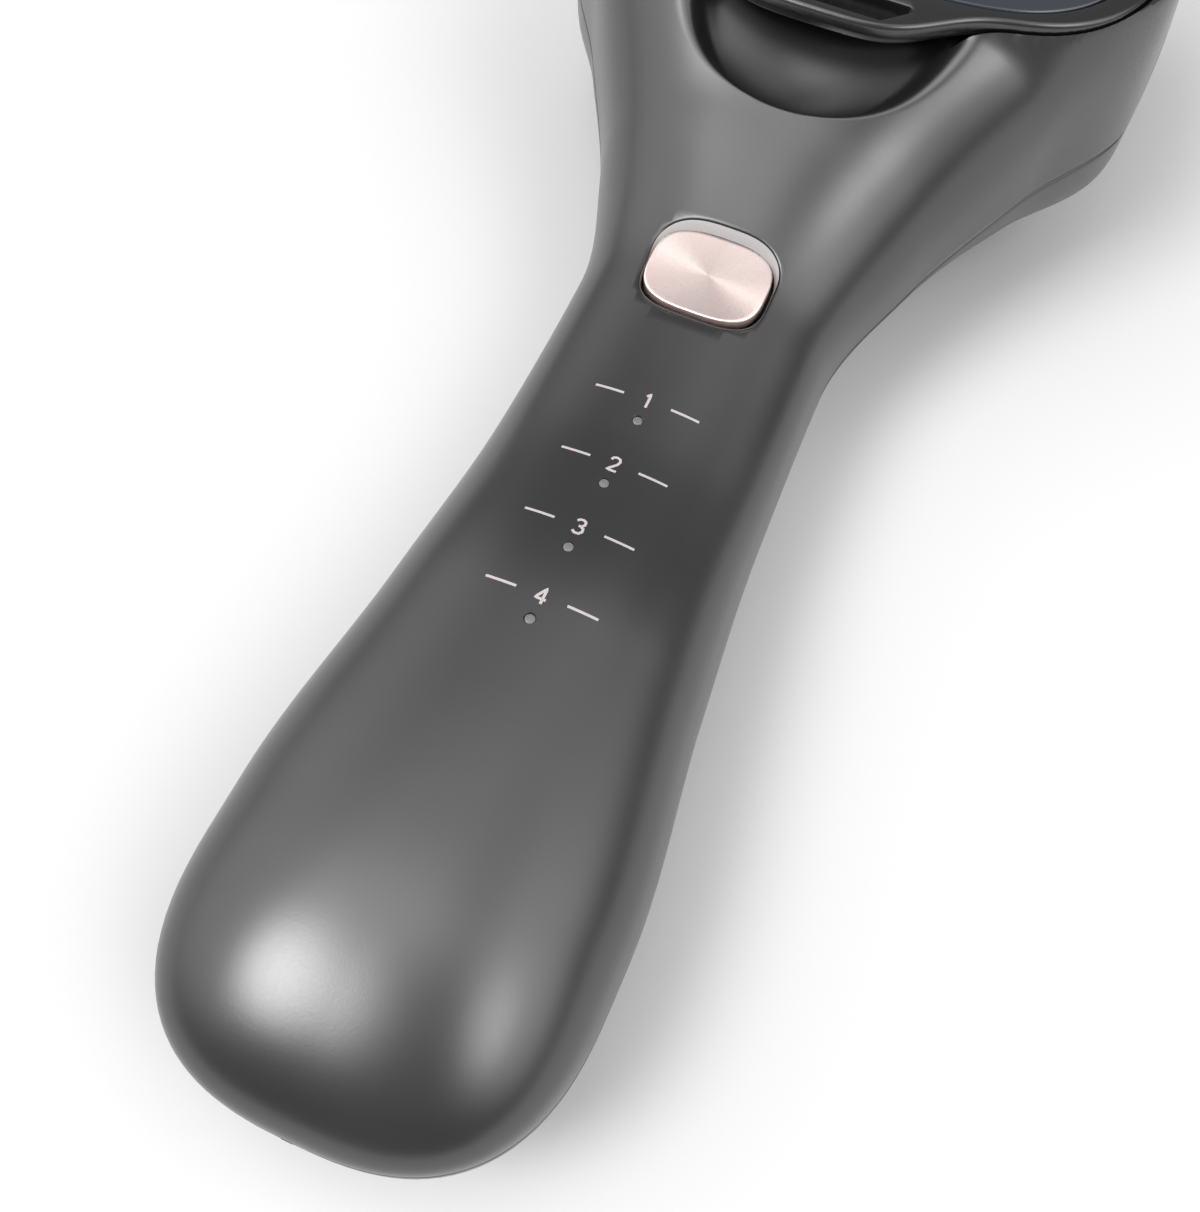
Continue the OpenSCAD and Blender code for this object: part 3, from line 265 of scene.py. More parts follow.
def by_angle(outline, centre, count):
    """The same outline with points at equal angles round a centre."""
    local = outline - np.array(centre)
    angle = np.unwrap(np.arctan2(local[:, 1], local[:, 0]))
    order = np.argsort(angle % (2 * math.pi))
    a = (angle % (2 * math.pi))[order]
    r = np.hypot(local[:, 0], local[:, 1])[order]
    want = np.linspace(0, 2 * math.pi, count, endpoint=False)
    got = np.interp(want, np.r_[a[-1] - 2 * math.pi, a, a[0] + 2 * math.pi], np.r_[r[-1], r, r[0]])
    return np.stack([got * np.cos(want), got * np.sin(want)], -1) + np.array(centre)


def grown(outline, distance):
    """The outline moved outwards, or inwards where the distance is negative."""
    along_edge = np.roll(outline, -1, 0) - np.roll(outline, 1, 0)
    out = np.stack([along_edge[:, 1], -along_edge[:, 0]], -1)
    return outline + out / np.linalg.norm(out, axis=1)[:, None] * distance


def level(outline, z):
    """An outline at one height, or at a height for each of its points."""
    return np.column_stack([outline, np.broadcast_to(z, len(outline))])


def edge_steps(radius, steps=6):
    """Inset and drop of a rounded edge, from its side to its face."""
    for k in range(steps + 1):
        a = math.pi / 2 * k / steps
        yield radius * (1 - math.cos(a)), radius * (1 - math.sin(a))


def slab_rings(outline, low, high, low_edge, high_edge, steps=6):
    """Rings of a plate with rounded edges, from its underside up."""
    rings = [level(grown(outline, -inset), low + drop)
             for inset, drop in reversed(list(edge_steps(low_edge, steps)))]
    rings += [level(grown(outline, -inset), high - drop)
              for inset, drop in edge_steps(high_edge, steps)]
    return rings


# ---- meshes ----

SHARP_ANGLE = math.radians(32.0)                # edges sharper than this are shaded sharp


def loft(rings, first=True, last=True, round_again=False):
    """Faces through rings of equally many points, with flat ends where they are asked for."""
    n = len(rings[0])
    count = len(rings)
    faces = []
    for i in range(count if round_again else count - 1):
        below, above = i * n, (i + 1) % count * n
        faces += [(below + j, below + (j + 1) % n, above + (j + 1) % n, above + j) for j in range(n)]
    if first and not round_again:
        faces.append(tuple(reversed(range(n))))
    if last and not round_again:
        faces.append(tuple(range((count - 1) * n, count * n)))
    return np.concatenate(rings), faces


def turned(profile, sides=48, hollow=False):
    """A turned solid round the z axis. The profile is (radius, height) from one end to the other."""
    t = np.linspace(0, 2 * math.pi, sides, endpoint=False)
    rings = [np.column_stack([r * np.cos(t), r * np.sin(t), np.full(sides, z)]) for r, z in profile]
    return loft(rings, round_again=hollow)


def moved(shape, spot, tilt=None):
    """A shape at a spot, turned first by a matrix where one is given."""
    points, faces = shape
    if tilt is not None:
        points = points @ np.array(tilt.to_3x3()).T
    return points + np.array(spot, float), faces


def gathered(shapes):
    """Several shapes as one."""
    points, faces, start = [], [], 0
    for some, their in shapes:
        points.append(some)
        faces += [tuple(i + start for i in face) for face in their]
        start += len(some)
    return np.concatenate(points), faces


def solid(name, shape):
    """A closed mesh object of a shape in millimetres."""
    mesh = bpy.data.meshes.new(name)
    mesh.from_pydata(place(shape[0]).tolist(), [], shape[1])
    work = bmesh.new()
    work.from_mesh(mesh)
    bmesh.ops.remove_doubles(work, verts=work.verts, dist=0.0005 * MM)
    bmesh.ops.recalc_face_normals(work, faces=work.faces)
    work.to_mesh(mesh)
    work.free()
    made = bpy.data.objects.new(name, mesh)
    bpy.context.scene.collection.objects.link(made)
    return made


def cut(target, shape, operation="DIFFERENCE"):
    """Cuts a shape out of an object, or joins it to the object."""
    tool = solid("cutter", shape)
    change = target.modifiers.new("cut", "BOOLEAN")
    change.operation = operation
    change.solver = "MANIFOLD"
    change.object = tool
    apply_modifiers(target)
    bpy.data.objects.remove(tool)


def apply_modifiers(target):
    graph = bpy.context.evaluated_depsgraph_get()
    made = bpy.data.meshes.new_from_object(target.evaluated_get(graph))
    if not made.polygons:
        raise RuntimeError(f"{target.name} has no faces left")
    target.modifiers.clear()
    target.data = made


def settle(target, body, slot, look, *nodes):
    """Shades a finished piece, gives it its finish and hangs it on its body."""
    target.data.shade_smooth()
    target.data.set_sharp_from_angle(angle=SHARP_ANGLE)
    target.data.materials.clear()
    target.data.materials.append(finish(look))
    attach(target, body)
    if nodes:
        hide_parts(*nodes)


# ---- colours and nodes ----

# Range in which a noise pattern mostly lies. Inputs 1 and 2 of a MapRange node are the range that
# comes in, and 3 and 4 the range that goes out.
LOW, HIGH = 0.3, 0.7


def linear(hex_value):
    """An sRGB hex value as linear red, green, blue and alpha."""
    channels = [int(hex_value[i:i + 2], 16) / 255 for i in (1, 3, 5)]
    return tuple(v / 12.92 if v <= 0.04045 else ((v + 0.055) / 1.055) ** 2.4 for v in channels) + (1.0,)


def scaled(colour, factor):
    return tuple(min(v * factor, 1.0) for v in colour[:3]) + (1.0,)


def per_mm(size):
    """Scale of a pattern whose features are this many millimetres across."""
    return 1 / (size * MM)


def add(tree, kind, inputs=None, output=0, **settings):
    """Adds a node and gives one of its outputs. An input is a value or the socket that feeds it."""
    made = tree.nodes.new("ShaderNode" + kind)
    for name, value in settings.items():
        setattr(made, name, value)
    for name, value in (inputs or {}).items():
        if isinstance(value, bpy.types.NodeSocket):
            tree.links.new(value, made.inputs[name])
        else:
            made.inputs[name].default_value = value
    return made.outputs[output] if made.outputs else None


def surface(name, constants):
    """A new material with its shader. Constant values go on the shader's own sockets."""
    made = bpy.data.materials.new(name)
    made.use_nodes = True
    tree = made.node_tree
    tree.nodes.clear()
    shader = add(tree, "BsdfPrincipled", constants)
    add(tree, "OutputMaterial", {"Surface": shader})
    return made, tree, shader.node, add(tree, "TexCoord", output="Object")


def dress(tree, shader, tone, tints, rough, height=None, depth=0.0):
    """Mixes two tints by a pattern, sets the roughness and raises the surface by a depth in mm."""
    # Inputs 6 and 7 and output 2 are the Mix node's colours
    colour = add(tree, "Mix", {0: tone, 6: tints[0], 7: tints[1]}, 2, data_type="RGBA")
    tree.links.new(colour, shader.inputs["Base Color"])
    tree.links.new(rough, shader.inputs["Roughness"])
    if height:
        relief = add(tree, "Bump", {"Height": height, "Distance": depth * MM})
        tree.links.new(relief, shader.inputs["Normal"])


def moulded(name, colour, constants, rough, grain_mm, grain_depth, mottle=0.12, spread=0.06):
    """Moulded plastic: grain of the mould, and a slow change of tone and of sheen."""
    made, tree, shader, where = surface(name, constants)
    slow = add(tree, "TexNoise", {"Vector": where, "Scale": per_mm(26.0), "Detail": 3.0})
    fine = add(tree, "TexNoise", {"Vector": where, "Scale": per_mm(grain_mm)})
    tone = add(tree, "MapRange", {0: slow, 1: LOW, 2: HIGH})
    broad = add(tree, "MapRange", {0: slow, 1: LOW, 2: HIGH, 3: rough - spread, 4: rough + spread})
    close = add(tree, "MapRange", {0: fine, 1: LOW, 2: HIGH, 3: -spread / 2, 4: spread / 2})
    sheen = add(tree, "Math", {0: broad, 1: close}, operation="ADD")
    tints = (scaled(colour, 1 - mottle), scaled(colour, 1 + mottle))
    dress(tree, shader, tone, tints, sheen, fine, grain_depth)
    return made


# ---- the finishes ----

def painted_abs(colours):
    # Moulded ABS sprayed with a charcoal metallic paint and a satin clear coat: nearly all its light
    # comes from broad, blurred highlights. The coat's 0.1 mm grain is drawn at 0.3 mm, so that it shows.
    return moulded("sprayed_satin_metallic_abs", colours.body, {"Metallic": 0.9},
                   0.3, 0.3, 0.004, 0.06, 0.02)


def dark_abs(colours):
    # Moulded ABS straight from the tool: plain dark grey with a half-matt skin.
    return moulded("moulded_dark_abs", colours.inner, {"IOR": 1.53}, 0.45, 0.4, 0.006)


def lid_abs(colours):
    # ABS with the same paint over a finer-ground face: smoother than the body, so its round edges
    # catch thin bright lines. Very slight orange peel 3 mm across.
    made, tree, shader, where = surface("sprayed_fine_satin_abs", {"Metallic": 0.9})
    peel = add(tree, "TexNoise", {"Vector": where, "Scale": per_mm(3.0), "Detail": 1.0})
    slow = add(tree, "TexNoise", {"Vector": where, "Scale": per_mm(22.0), "Detail": 3.0})
    rough = add(tree, "MapRange", {0: slow, 1: LOW, 2: HIGH, 3: 0.24, 4: 0.3})
    dress(tree, shader, slow, (scaled(colours.lid, 0.85), scaled(colours.lid, 1.15)), rough, peel, 0.004)
    return made


def panel_acrylic(colours):
    # Back-painted acrylic sheet: blue-grey paint seen through a clear polished face, with faint
    # flakes in the paint.
    made, tree, shader, where = surface("back_painted_acrylic", {"IOR": 1.49, "Coat Weight": 0.8,
                                                                 "Coat Roughness": 0.02})
    flakes = add(tree, "TexVoronoi", {"Vector": where, "Scale": per_mm(0.35)}, output="Distance")
    slow = add(tree, "TexNoise", {"Vector": where, "Scale": per_mm(30.0)})
    rough = add(tree, "MapRange", {0: flakes, 1: 0.0, 2: 0.6, 3: 0.22, 4: 0.3})
    dress(tree, shader, slow, (scaled(colours.panel, 0.85), scaled(colours.panel, 1.15)), rough)
    return made


def spun_aluminium(colours):
    # Aluminium turned on a lathe and anodised rose: the fine rings stretch each highlight into
    # sectors that run from the middle of the face. The rings are 0.05 mm apart and are left to the
    # anisotropic shader; the base colour also runs between darker and lighter rose in sectors round
    # the middle, as painted reflection.
    made, tree, shader, where = surface("spun_rose_anodised_aluminium",
                                        {"Metallic": 1.0, "Anisotropic": 0.75})
    centre = (0.0, (NECK_Y - LENGTH / 2) * MM, 0.0)
    middle = add(tree, "VectorMath", {0: where, 1: centre}, operation="SUBTRACT")
    # Painted reflection: the base colour turns lighter and darker in sectors round the middle of the face,
    # as the spun rings' highlights would
    turn = add(tree, "TexGradient", {"Vector": middle}, output="Fac", gradient_type="RADIAL")
    spread = add(tree, "CombineXYZ", {"X": turn})
    painted_reflection_sectors = add(tree, "TexNoise", {"Vector": spread, "Scale": 6.0})
    tone = add(tree, "MapRange", {0: painted_reflection_sectors, 1: LOW, 2: HIGH})
    rings = add(tree, "TexNoise", {"Vector": where, "Scale": per_mm(0.3), "Detail": 1.0})
    rough = add(tree, "MapRange", {0: rings, 1: LOW, 2: HIGH, 3: 0.27, 4: 0.32})
    dress(tree, shader, tone, (tuple(colours.button), scaled(colours.button, 1.12)), rough)
    tangent = add(tree, "Tangent", direction_type="RADIAL", axis="Z")
    tree.links.new(tangent, shader.inputs["Tangent"])
    return made


def milky_polycarbonate(colours):
    # Moulded polycarbonate with a diffuser in it: milky, with light that spreads under the surface.
    return moulded("moulded_milky_polycarbonate", colours.light,
                   {"IOR": 1.58, "Subsurface Weight": 0.4, "Subsurface Scale": 0.001}, 0.3, 0.3, 0.002, 0.03)


def painted_highlight_ring(colours):
    # Pale matt grey that lines the button's pocket: a painted highlight, standing in for the light caught on
    # the pocket's far wall.
    return moulded("painted_highlight_pale_matt", colours.ring, {"IOR": 1.5}, 0.5, 0.4, 0.002, 0.03)


def printed_ink(colours):
    # Pad-printed ink: an even matt film with slightly uneven cover.
    return moulded("pad_printed_ink", colours.ink, {"IOR": 1.5}, 0.55, 0.2, 0.002, 0.04)


def silicone(colours):
    # Moulded silicone rubber: dark grey with a dull, slightly greasy sheen, and light that enters it.
    return moulded("moulded_silicone", colours.tine,
                   {"IOR": 1.41, "Subsurface Weight": 0.15, "Subsurface Scale": 0.002, "Sheen Weight": 0.1,
                    "Sheen Roughness": 0.4}, 0.5, 0.5, 0.006, 0.1)


def rubber(colours):
    # Pressed rubber: near black and matt, with a fine grain.
    return moulded("pressed_rubber", linear("#262627"), {"IOR": 1.52}, 0.65, 0.35, 0.01, 0.1)


def red_polycarbonate(colours):
    # Moulded clear red polycarbonate over the lights: deep red with a polished face.
    return moulded("moulded_red_polycarbonate", colours.lens, {"IOR": 1.58, "Transmission Weight": 0.35},
                   0.12, 0.6, 0.001, 0.1, 0.03)


def white_polypropylene(colours):
    # Moulded polypropylene: milky white with a waxy sheen.
    return moulded("moulded_white_polypropylene", linear("#cfd1d2"),
                   {"IOR": 1.49, "Subsurface Weight": 0.2, "Subsurface Scale": 0.001},
                   0.38, 0.4, 0.003, 0.03)


def clear_pod(colours):
    # Moulded styrene copolymer: a cool, half-clear container with faint flow marks.
    return moulded("moulded_clear_styrene", colours.pod, {"IOR": 1.57, "Transmission Weight": 0.45},
                   0.14, 7.0, 0.01, 0.06, 0.04)


def ground_steel(colours):
    # Ground and plated steel: cool grey metal with fine streaks 0.3 mm apart.
    made, tree, shader, where = surface("ground_steel", {"Metallic": 1.0})
    drawn = add(tree, "VectorMath", {0: where, 1: (1.0, 0.08, 1.0)}, operation="MULTIPLY")
    streaks = add(tree, "TexNoise", {"Vector": drawn, "Scale": per_mm(0.3)})
    rough = add(tree, "MapRange", {0: streaks, 1: LOW, 2: HIGH, 3: 0.22, 4: 0.36})
    dress(tree, shader, streaks, (linear("#a9abad"), linear("#c4c6c8")), rough, streaks, 0.002)
    return made


def gold_plate(colours):
    # Gold-plated brass pin: warm metal, slightly rubbed.
    made, tree, shader, where = surface("gold_plated_brass", {"Metallic": 1.0})
    rub = add(tree, "TexNoise", {"Vector": where, "Scale": per_mm(0.5), "Detail": 3.0})
    rough = add(tree, "MapRange", {0: rub, 1: LOW, 2: HIGH, 3: 0.18, 4: 0.34})
    dress(tree, shader, rub, (linear("#c79a4c"), linear("#e2bb72")), rough, rub, 0.002)
    return made


def solder_mask(colours):
    # Glass-fibre board under green solder mask: the weave of 0.5 mm shows through the film.
    made, tree, shader, where = surface("solder_masked_board", {"IOR": 1.55})
    weave = add(tree, "TexChecker", {"Vector": where, "Scale": per_mm(0.5)}, output="Fac")
    slow = add(tree, "TexNoise", {"Vector": where, "Scale": per_mm(9.0)})
    rough = add(tree, "MapRange", {0: slow, 1: LOW, 2: HIGH, 3: 0.28, 4: 0.4})
    dress(tree, shader, slow, (linear("#174a2f"), linear("#23683f")), rough, weave, 0.004)
    return made


def led_epoxy(colours):
    # Cast epoxy over a light chip: warm milky yellow.
    return moulded("cast_led_epoxy", linear("#efe6c4"), {"IOR": 1.54}, 0.2, 0.3, 0.001, 0.05)


def shrink_wrap(colours):
    # Heat-shrunk sleeve round the cell: blue film with faint wrinkles 4 mm apart.
    return moulded("shrunk_cell_sleeve", linear("#2b5a96"), {"IOR": 1.53}, 0.3, 4.0, 0.03, 0.08)


def wire_sleeve(colours):
    # Extruded wire sleeve: red, smooth and slightly shiny.
    return moulded("extruded_wire_sleeve", linear("#9c2a2a"), {"IOR": 1.5}, 0.35, 0.5, 0.003)


FINISHES = {
    "body": painted_abs, "inner": dark_abs, "lid": lid_abs, "panel": panel_acrylic, "button": spun_aluminium,
    "ring": painted_highlight_ring, "light": milky_polycarbonate, "ink": printed_ink, "tine": silicone, "rubber": rubber,
    "lens": red_polycarbonate, "white": white_polypropylene, "pod": clear_pod, "steel": ground_steel,
    "gold": gold_plate, "board": solder_mask, "led": led_epoxy, "cell": shrink_wrap, "wire": wire_sleeve}
made_finishes = {}


def finish(name):
    """The material of that name, made when it is first asked for."""
    if name not in made_finishes:
        made_finishes[name] = FINISHES[name](bpy.context.scene.massager_colours)
    return made_finishes[name]


# ---- sizes and colours that a user would change ----

def length(name, description, mm):
    return FloatProperty(name=name, description=description, default=mm * MM, min=0.0, max=20 * MM,
                         unit="LENGTH", precision=5)


def colour(name, description, hex_value):
    return FloatVectorProperty(name=name, description=description, default=linear(hex_value), size=4,
                               min=0.0, max=1.0, subtype="COLOR")


class MassagerSizes(bpy.types.PropertyGroup):
    seam_roll: length("Seam edge", "Radius of the rolled edges along the seam", 0.4)
    pocket_edge: length("Button pocket", "Radius of the soft edge round the button's pocket", 0.5)
    # The pale ring is a painted highlight: it stands in for the light on the pocket's far wall
    pocket_highlight_width: length("Button ring", "Width of the pale ring behind the button, on the head's side", 1.15)
    well_edge: length("Lid well", "Radius of the body's edge round the lid", 0.35)
    lid_edge: length("Lid edge", "Radius of the lid's upper edge", 0.7)
    lid_under: length("Lid underside", "Radius of the lid's lower edge", 2.3)
    lid_gap: length("Lid gap", "Gap between the lid and the body round it", 0.3)
    panel_edge: length("Panel edge", "Radius of the panel's upper edge", 0.4)
    button_edge: length("Button edge", "Radius of the button's upper edge", 0.22)
    button_dish: length("Button dish", "Depth of the hollow in the button's face", 0.15)
    mark_height: length("Number height", "Height of the printed numbers", 2.0)
    mark_line: length("Print width", "Width of the printed lines", 0.32)
    mark_gap: length("Number place", "Distance of the numbers from their lights", 3.0)
    tine_sides: IntProperty(name="Tine sides", description="Facets round each tine", default=32,
                            min=12, max=96)


class MassagerColours(bpy.types.PropertyGroup):
    body: colour("Body", "Metallic paint of the two body shells", "#5c5c5c")
    inner: colour("Inner parts", "Moulded parts inside the body", "#2a2b2d")
    lid: colour("Lid", "Paint of the lid and the hinge", "#575757")
    panel: colour("Panel", "Paint behind the lid's panel", "#2b3038")
    button: colour("Button", "Anodised face of the button", "#fbe3de")
    # Colour of the pale ring in the button's pocket: a painted highlight of the pocket's lit far wall
    ring: colour("Button ring", "Ring in the button's pocket", "#a9a6a5")
    light: colour("Lights", "Tips of the light guide", "#747577")
    ink: colour("Print", "Numbers beside the lights", "#bdb5b4")
    tine: colour("Tines", "Silicone of the tines", "#3d3d41")
    lens: colour("Window", "Red window in the comb plate", "#9c1f18")
    pod: colour("Pod", "Serum pod", "#c5d3d8")
    floor: colour("Floor", "Studio floor", "#e2e2e2")


def mm_of(name):
    return getattr(bpy.context.scene.massager_sizes, name) / MM


# ---- shells ----

LIP_BAND = 4.0                                  # width of the fine mesh outside the scoop
RIM_RUN, RIM_END = 5.5, 0.9                     # stretch before the far end where the flat top turns down


def shell_stations(skin):
    """Places of the rings along the body, close together where its shape turns fast."""
    y0 = 1.3 * WALL if skin > 0 else 0.0004
    y1 = LENGTH - y0
    front = SHOULDER_Y - SCOOP_REACH
    butt = y0 + (BUTT_LENGTH - y0) * np.linspace(0, 1, 30) ** 2.6
    handle = np.linspace(BUTT_LENGTH, front - LIP_BAND, 58)[1:]
    before = front - LIP_BAND * np.linspace(1, 0, 8)[1:] ** 1.5
    inside = front + (SHOULDER_Y - front) * np.linspace(0, 1, 34)[1:] ** 1.5
    behind = np.linspace(SHOULDER_Y, SCOOP_END + SCOOP_SLOPE, 10)[1:]
    head = np.linspace(SCOOP_END + SCOOP_SLOPE, LENGTH - NOSE_LENGTH, 30)[1:]
    nose = np.linspace(LENGTH - NOSE_LENGTH, y1 - RIM_RUN, 20)[1:]
    rim = np.linspace(y1 - RIM_RUN, y1 - RIM_END, 40)[1:]
    last = y1 - RIM_END * np.linspace(1, 0, 14)[1:] ** 2.2
    return np.concatenate([butt, handle, before, inside, behind, head, nose, rim, last])


def lip_half_width(y):
    """Half width at which a column of points runs, so that it follows the scoop's lip."""
    v = min(y - SHOULDER_Y, 0.0) / SCOOP_REACH
    front = SHOULDER_Y - SCOOP_REACH
    if y < front:
        half = float(along(0, y)) / 2
        return 4.25 + (half - 4.25) * (1 - float(ease(front - 20.0, front, y)))
    return max(4.25, SCOOP_HALF * math.sqrt(max(1 - v * v, 0.0)))


def upper_ring(y, skin, roll):
    """Right half of the upper section at y, from the seam to the middle of the top."""
    half, flare, top, seam, _, n, _ = (float(v) for v in section(y))
    wide = half - flare - skin
    part = min(lip_half_width(y) / wide, 0.7)
    border = min(part + LIP_BAND / wide, 0.86)
    inner = part * (1 - np.linspace(0, 1, 26)[1:] ** 1.4)
    band = np.linspace(border, part, 9)[1:]
    # Side, from the seam to the band, in equal steps along the surface after the rolled edge
    u_border = (1 - border ** n) ** (1 / n)
    side_u = np.linspace(0, 1, 900) ** 1.6 * u_border
    side_x = wide * (1 - side_u ** n) ** (1 / n) + flare * (1 - side_u) ** 2
    side_z = (top - seam) * side_u
    run = np.r_[0, np.cumsum(np.hypot(np.diff(side_x), np.diff(side_z)))]
    near = roll * np.array([0.0, 0.06, 0.2, 0.45, 0.75, 1.0])
    near = near * min(1.0, run[-1] / 6)
    steps = np.r_[near, near[-1] + (run[-1] - near[-1]) * np.linspace(0, 1, 50)[1:]]
    u_side = np.interp(steps, run, side_u)
    u = np.r_[u_side, (1 - band ** n) ** (1 / n), (1 - inner ** n) ** (1 / n)]
    c = np.r_[(1 - u_side ** n) ** (1 / n), band, inner]
    return u, c


def lower_ring(y, skin, roll):
    half, _, _, seam, under, _, n = (float(v) for v in section(y))
    side_u = np.linspace(0, 1, 1200) ** 1.6
    side_c = (1 - side_u ** n) ** (1 / n)
    run = np.r_[0, np.cumsum(np.hypot(np.diff((half - skin) * side_c), np.diff((seam - under) * side_u)))]
    near = roll * np.array([0.0, 0.06, 0.2, 0.45, 0.75, 1.0]) * min(1.0, run[-1] / 6)
    steps = np.r_[near, near[-1] + (run[-1] - near[-1]) * np.linspace(0, 1, 44)[1:]]
    return np.interp(steps, run, side_u), np.interp(steps, run, side_c)


def skin_grid(low, skin, roll):
    """Grid of points over one skin of a shell, from the right seam to the left one."""
    rows = []
    for y in shell_stations(skin):
        if low:
            half, _, _, seam, under, _, _ = section(y)
            u, c = lower_ring(y, skin, roll)
            x = (half - skin) * c
            z = seam - SEAM_GAP / 2 - (seam - SEAM_GAP / 2 - under - skin) * u
            if y > HEAD_STARTS:
                z = -soft_min(-z, -(FLOOR_Z + skin), 0.6)
        else:
            u, c = upper_ring(y, skin, roll)
            x, z = upper_point(y, u, c, skin)
        right = np.column_stack([x, np.full(len(x), y), z])
        left = right[::-1][1:] * (-1, 1, 1)
        rows.append(np.concatenate([right, left]))
    return np.array(rows)


def rolled(grid, radius):
    """Draws the skin in next to the seam, so that its edge is round."""
    across = np.gradient(grid, axis=1)
    down = np.gradient(grid, axis=0)
    out = np.cross(down, across)
    out[..., 2] = 0
    size = np.linalg.norm(out, axis=-1, keepdims=True)
    out = np.where(size > 1e-12, out / np.maximum(size, 1e-12), 0)
    middle = grid.mean(axis=1, keepdims=True)
    facing = np.sign(np.sum(out * (grid - middle), -1, keepdims=True))
    seam = grid[:, :1, 2]
    from_seam = np.abs(grid[..., 2] - seam)
    hollow = radius - np.sqrt(np.maximum(radius ** 2 - np.maximum(radius - from_seam, 0.0) ** 2, 0.0))
    end = np.minimum(grid[:, 0, 0] / 3.0, 1.0)[:, None]
    return grid - out * facing * (hollow * end)[..., None]


def shell(low):
    """Closed shell between its outer and inner skin."""
    roll = mm_of("seam_roll")
    outer = rolled(skin_grid(low, 0.0, roll), roll)
    inner = skin_grid(low, WALL, roll)
    rows, columns = outer.shape[:2]
    rings = np.concatenate([outer, inner[:, ::-1]], axis=1)
    points, faces = loft(list(rings), first=False, last=False)
    n = 2 * columns
    for i in (0, rows - 1):
        faces.append(tuple(i * n + j for j in range(columns)))
        faces.append(tuple(i * n + j for j in range(columns, n)))
        faces.append((i * n, i * n + columns - 1, i * n + columns, i * n + n - 1))
    return points, faces


def well_shape(outline, bottom, edge):
    """Cutter of the lid's well, whose upper edge is rounded where it meets the body's surface."""
    heights = np.array([top_height(x, min(max(y, 1), LENGTH - 1)) for x, y in outline])
    rings = [level(outline, bottom)]
    for inset, drop in edge_steps(edge):
        rings.append(level(grown(outline, inset), np.maximum(heights - drop, bottom + 0.01)))
    rings.append(level(grown(outline, edge + 0.6), np.maximum(heights, bottom) + 0.4))
    rings.append(level(grown(outline, edge + 0.6), ABOVE))
    return loft(rings)


def button_place(x, y, z):
    """A point of the button's own frame, in the body's millimetres."""
    c, s = math.cos(BUTTON_TILT), math.sin(BUTTON_TILT)
    return np.array([x, NECK_Y + y * c - z * s, BUTTON_Z + y * s + z * c])


def pocket_outline(count=144):
    """Outline of the button's pocket, and how far it swells at each point towards the head, to hold the pale
    ring of painted highlight.
    """
    outline = plan(BUTTON_HALF + BUTTON_PLAY, BUTTON_REACH + BUTTON_PLAY, BUTTON_SQUARE, 0.0, count)
    angle = np.linspace(0, 2 * math.pi, count, endpoint=False)
    swell = ease(0.05, 0.85, np.cos(angle - math.radians(93)))
    return outline, 0.12 + (mm_of("pocket_highlight_width") - 0.12) * swell


def on_surface(outline, depth):
    """Points of an outline in the button's frame, sunk below the body's surface by a depth."""
    made = []
    for (x, y), sunk in zip(outline, np.broadcast_to(depth, len(outline))):
        z = 0.0
        for _ in range(3):
            spot = button_place(x, y, z)
            z += top_height(spot[0], spot[1]) - spot[2]
        made.append(button_place(x, y, z - sunk))
    return np.array(made)


def pocket_shape():
    """Cutter of the button's pocket, with a small round edge that follows the body's surface."""
    outline, swell = pocket_outline()
    wide = grown(outline, (swell + 0.02)[:, None])
    edge = mm_of("pocket_edge")
    rings = [np.array([button_place(x, y, -4.2) for x, y in outline]), on_surface(outline, RING_DEPTH),
             on_surface(wide, RING_DEPTH)]
    rings += [on_surface(grown(wide, inset), drop) for inset, drop in edge_steps(edge)]
    rings.append(on_surface(grown(wide, edge * 1.5), -0.1))
    rings.append(np.array([button_place(x, y, 9.0) for x, y in grown(wide, edge * 1.5)]))
    return loft(rings)


def rod(spot, radius, low, high, sides=48):
    return moved(turned([(radius, low), (radius, high)], sides), (spot[0], spot[1], 0))


class MASSAGER_OT_upper_shell(bpy.types.Operator):
    """Builds the upper shell with its scoop, lid well, button pocket and light holes"""
    bl_idname = "massager.upper_shell"
    bl_label = "Upper shell"

    def execute(self, context):
        piece = solid("upper_shell", shell(False))
        lid = by_angle(lid_outline(), (0, LID_Y), 360)
        cut(piece, well_shape(grown(lid, mm_of("lid_gap")), DECK_Z, mm_of("well_edge")))
        tray = round_block(*TRAY, HEAD_Y)
        cut(piece, loft([level(tray, 28.0), level(tray, ABOVE)]))
        cut(piece, pocket_shape())
        holes = []
        for y in LIGHTS_Y:
            top = top_height(0.0, y)
            hole = [(LIGHT_R + 0.05, 24.0), (LIGHT_R + 0.05, top - 0.08), (LIGHT_R + 0.14, top + 0.02),
                    (LIGHT_R + 0.14, 40.0)]
            holes.append(moved(turned(hole, 32), (0, y, 0)))
        holes += [rod(spot, MAGNET_SEAT_R, DECK_Z - MAGNET_SEAT, ABOVE) for spot in MAGNETS]
        cut(piece, gathered(holes))
        seat = round_block(2 * (BRACKET_HALF + 0.3), 12.0, 0.8, 231.7)
        cut(piece, loft([level(seat, BRACKET_SEAT), level(seat, ABOVE)]))
        settle(piece, "housing", "housing_top", "body", "upper_housing")
        return {"FINISHED"}


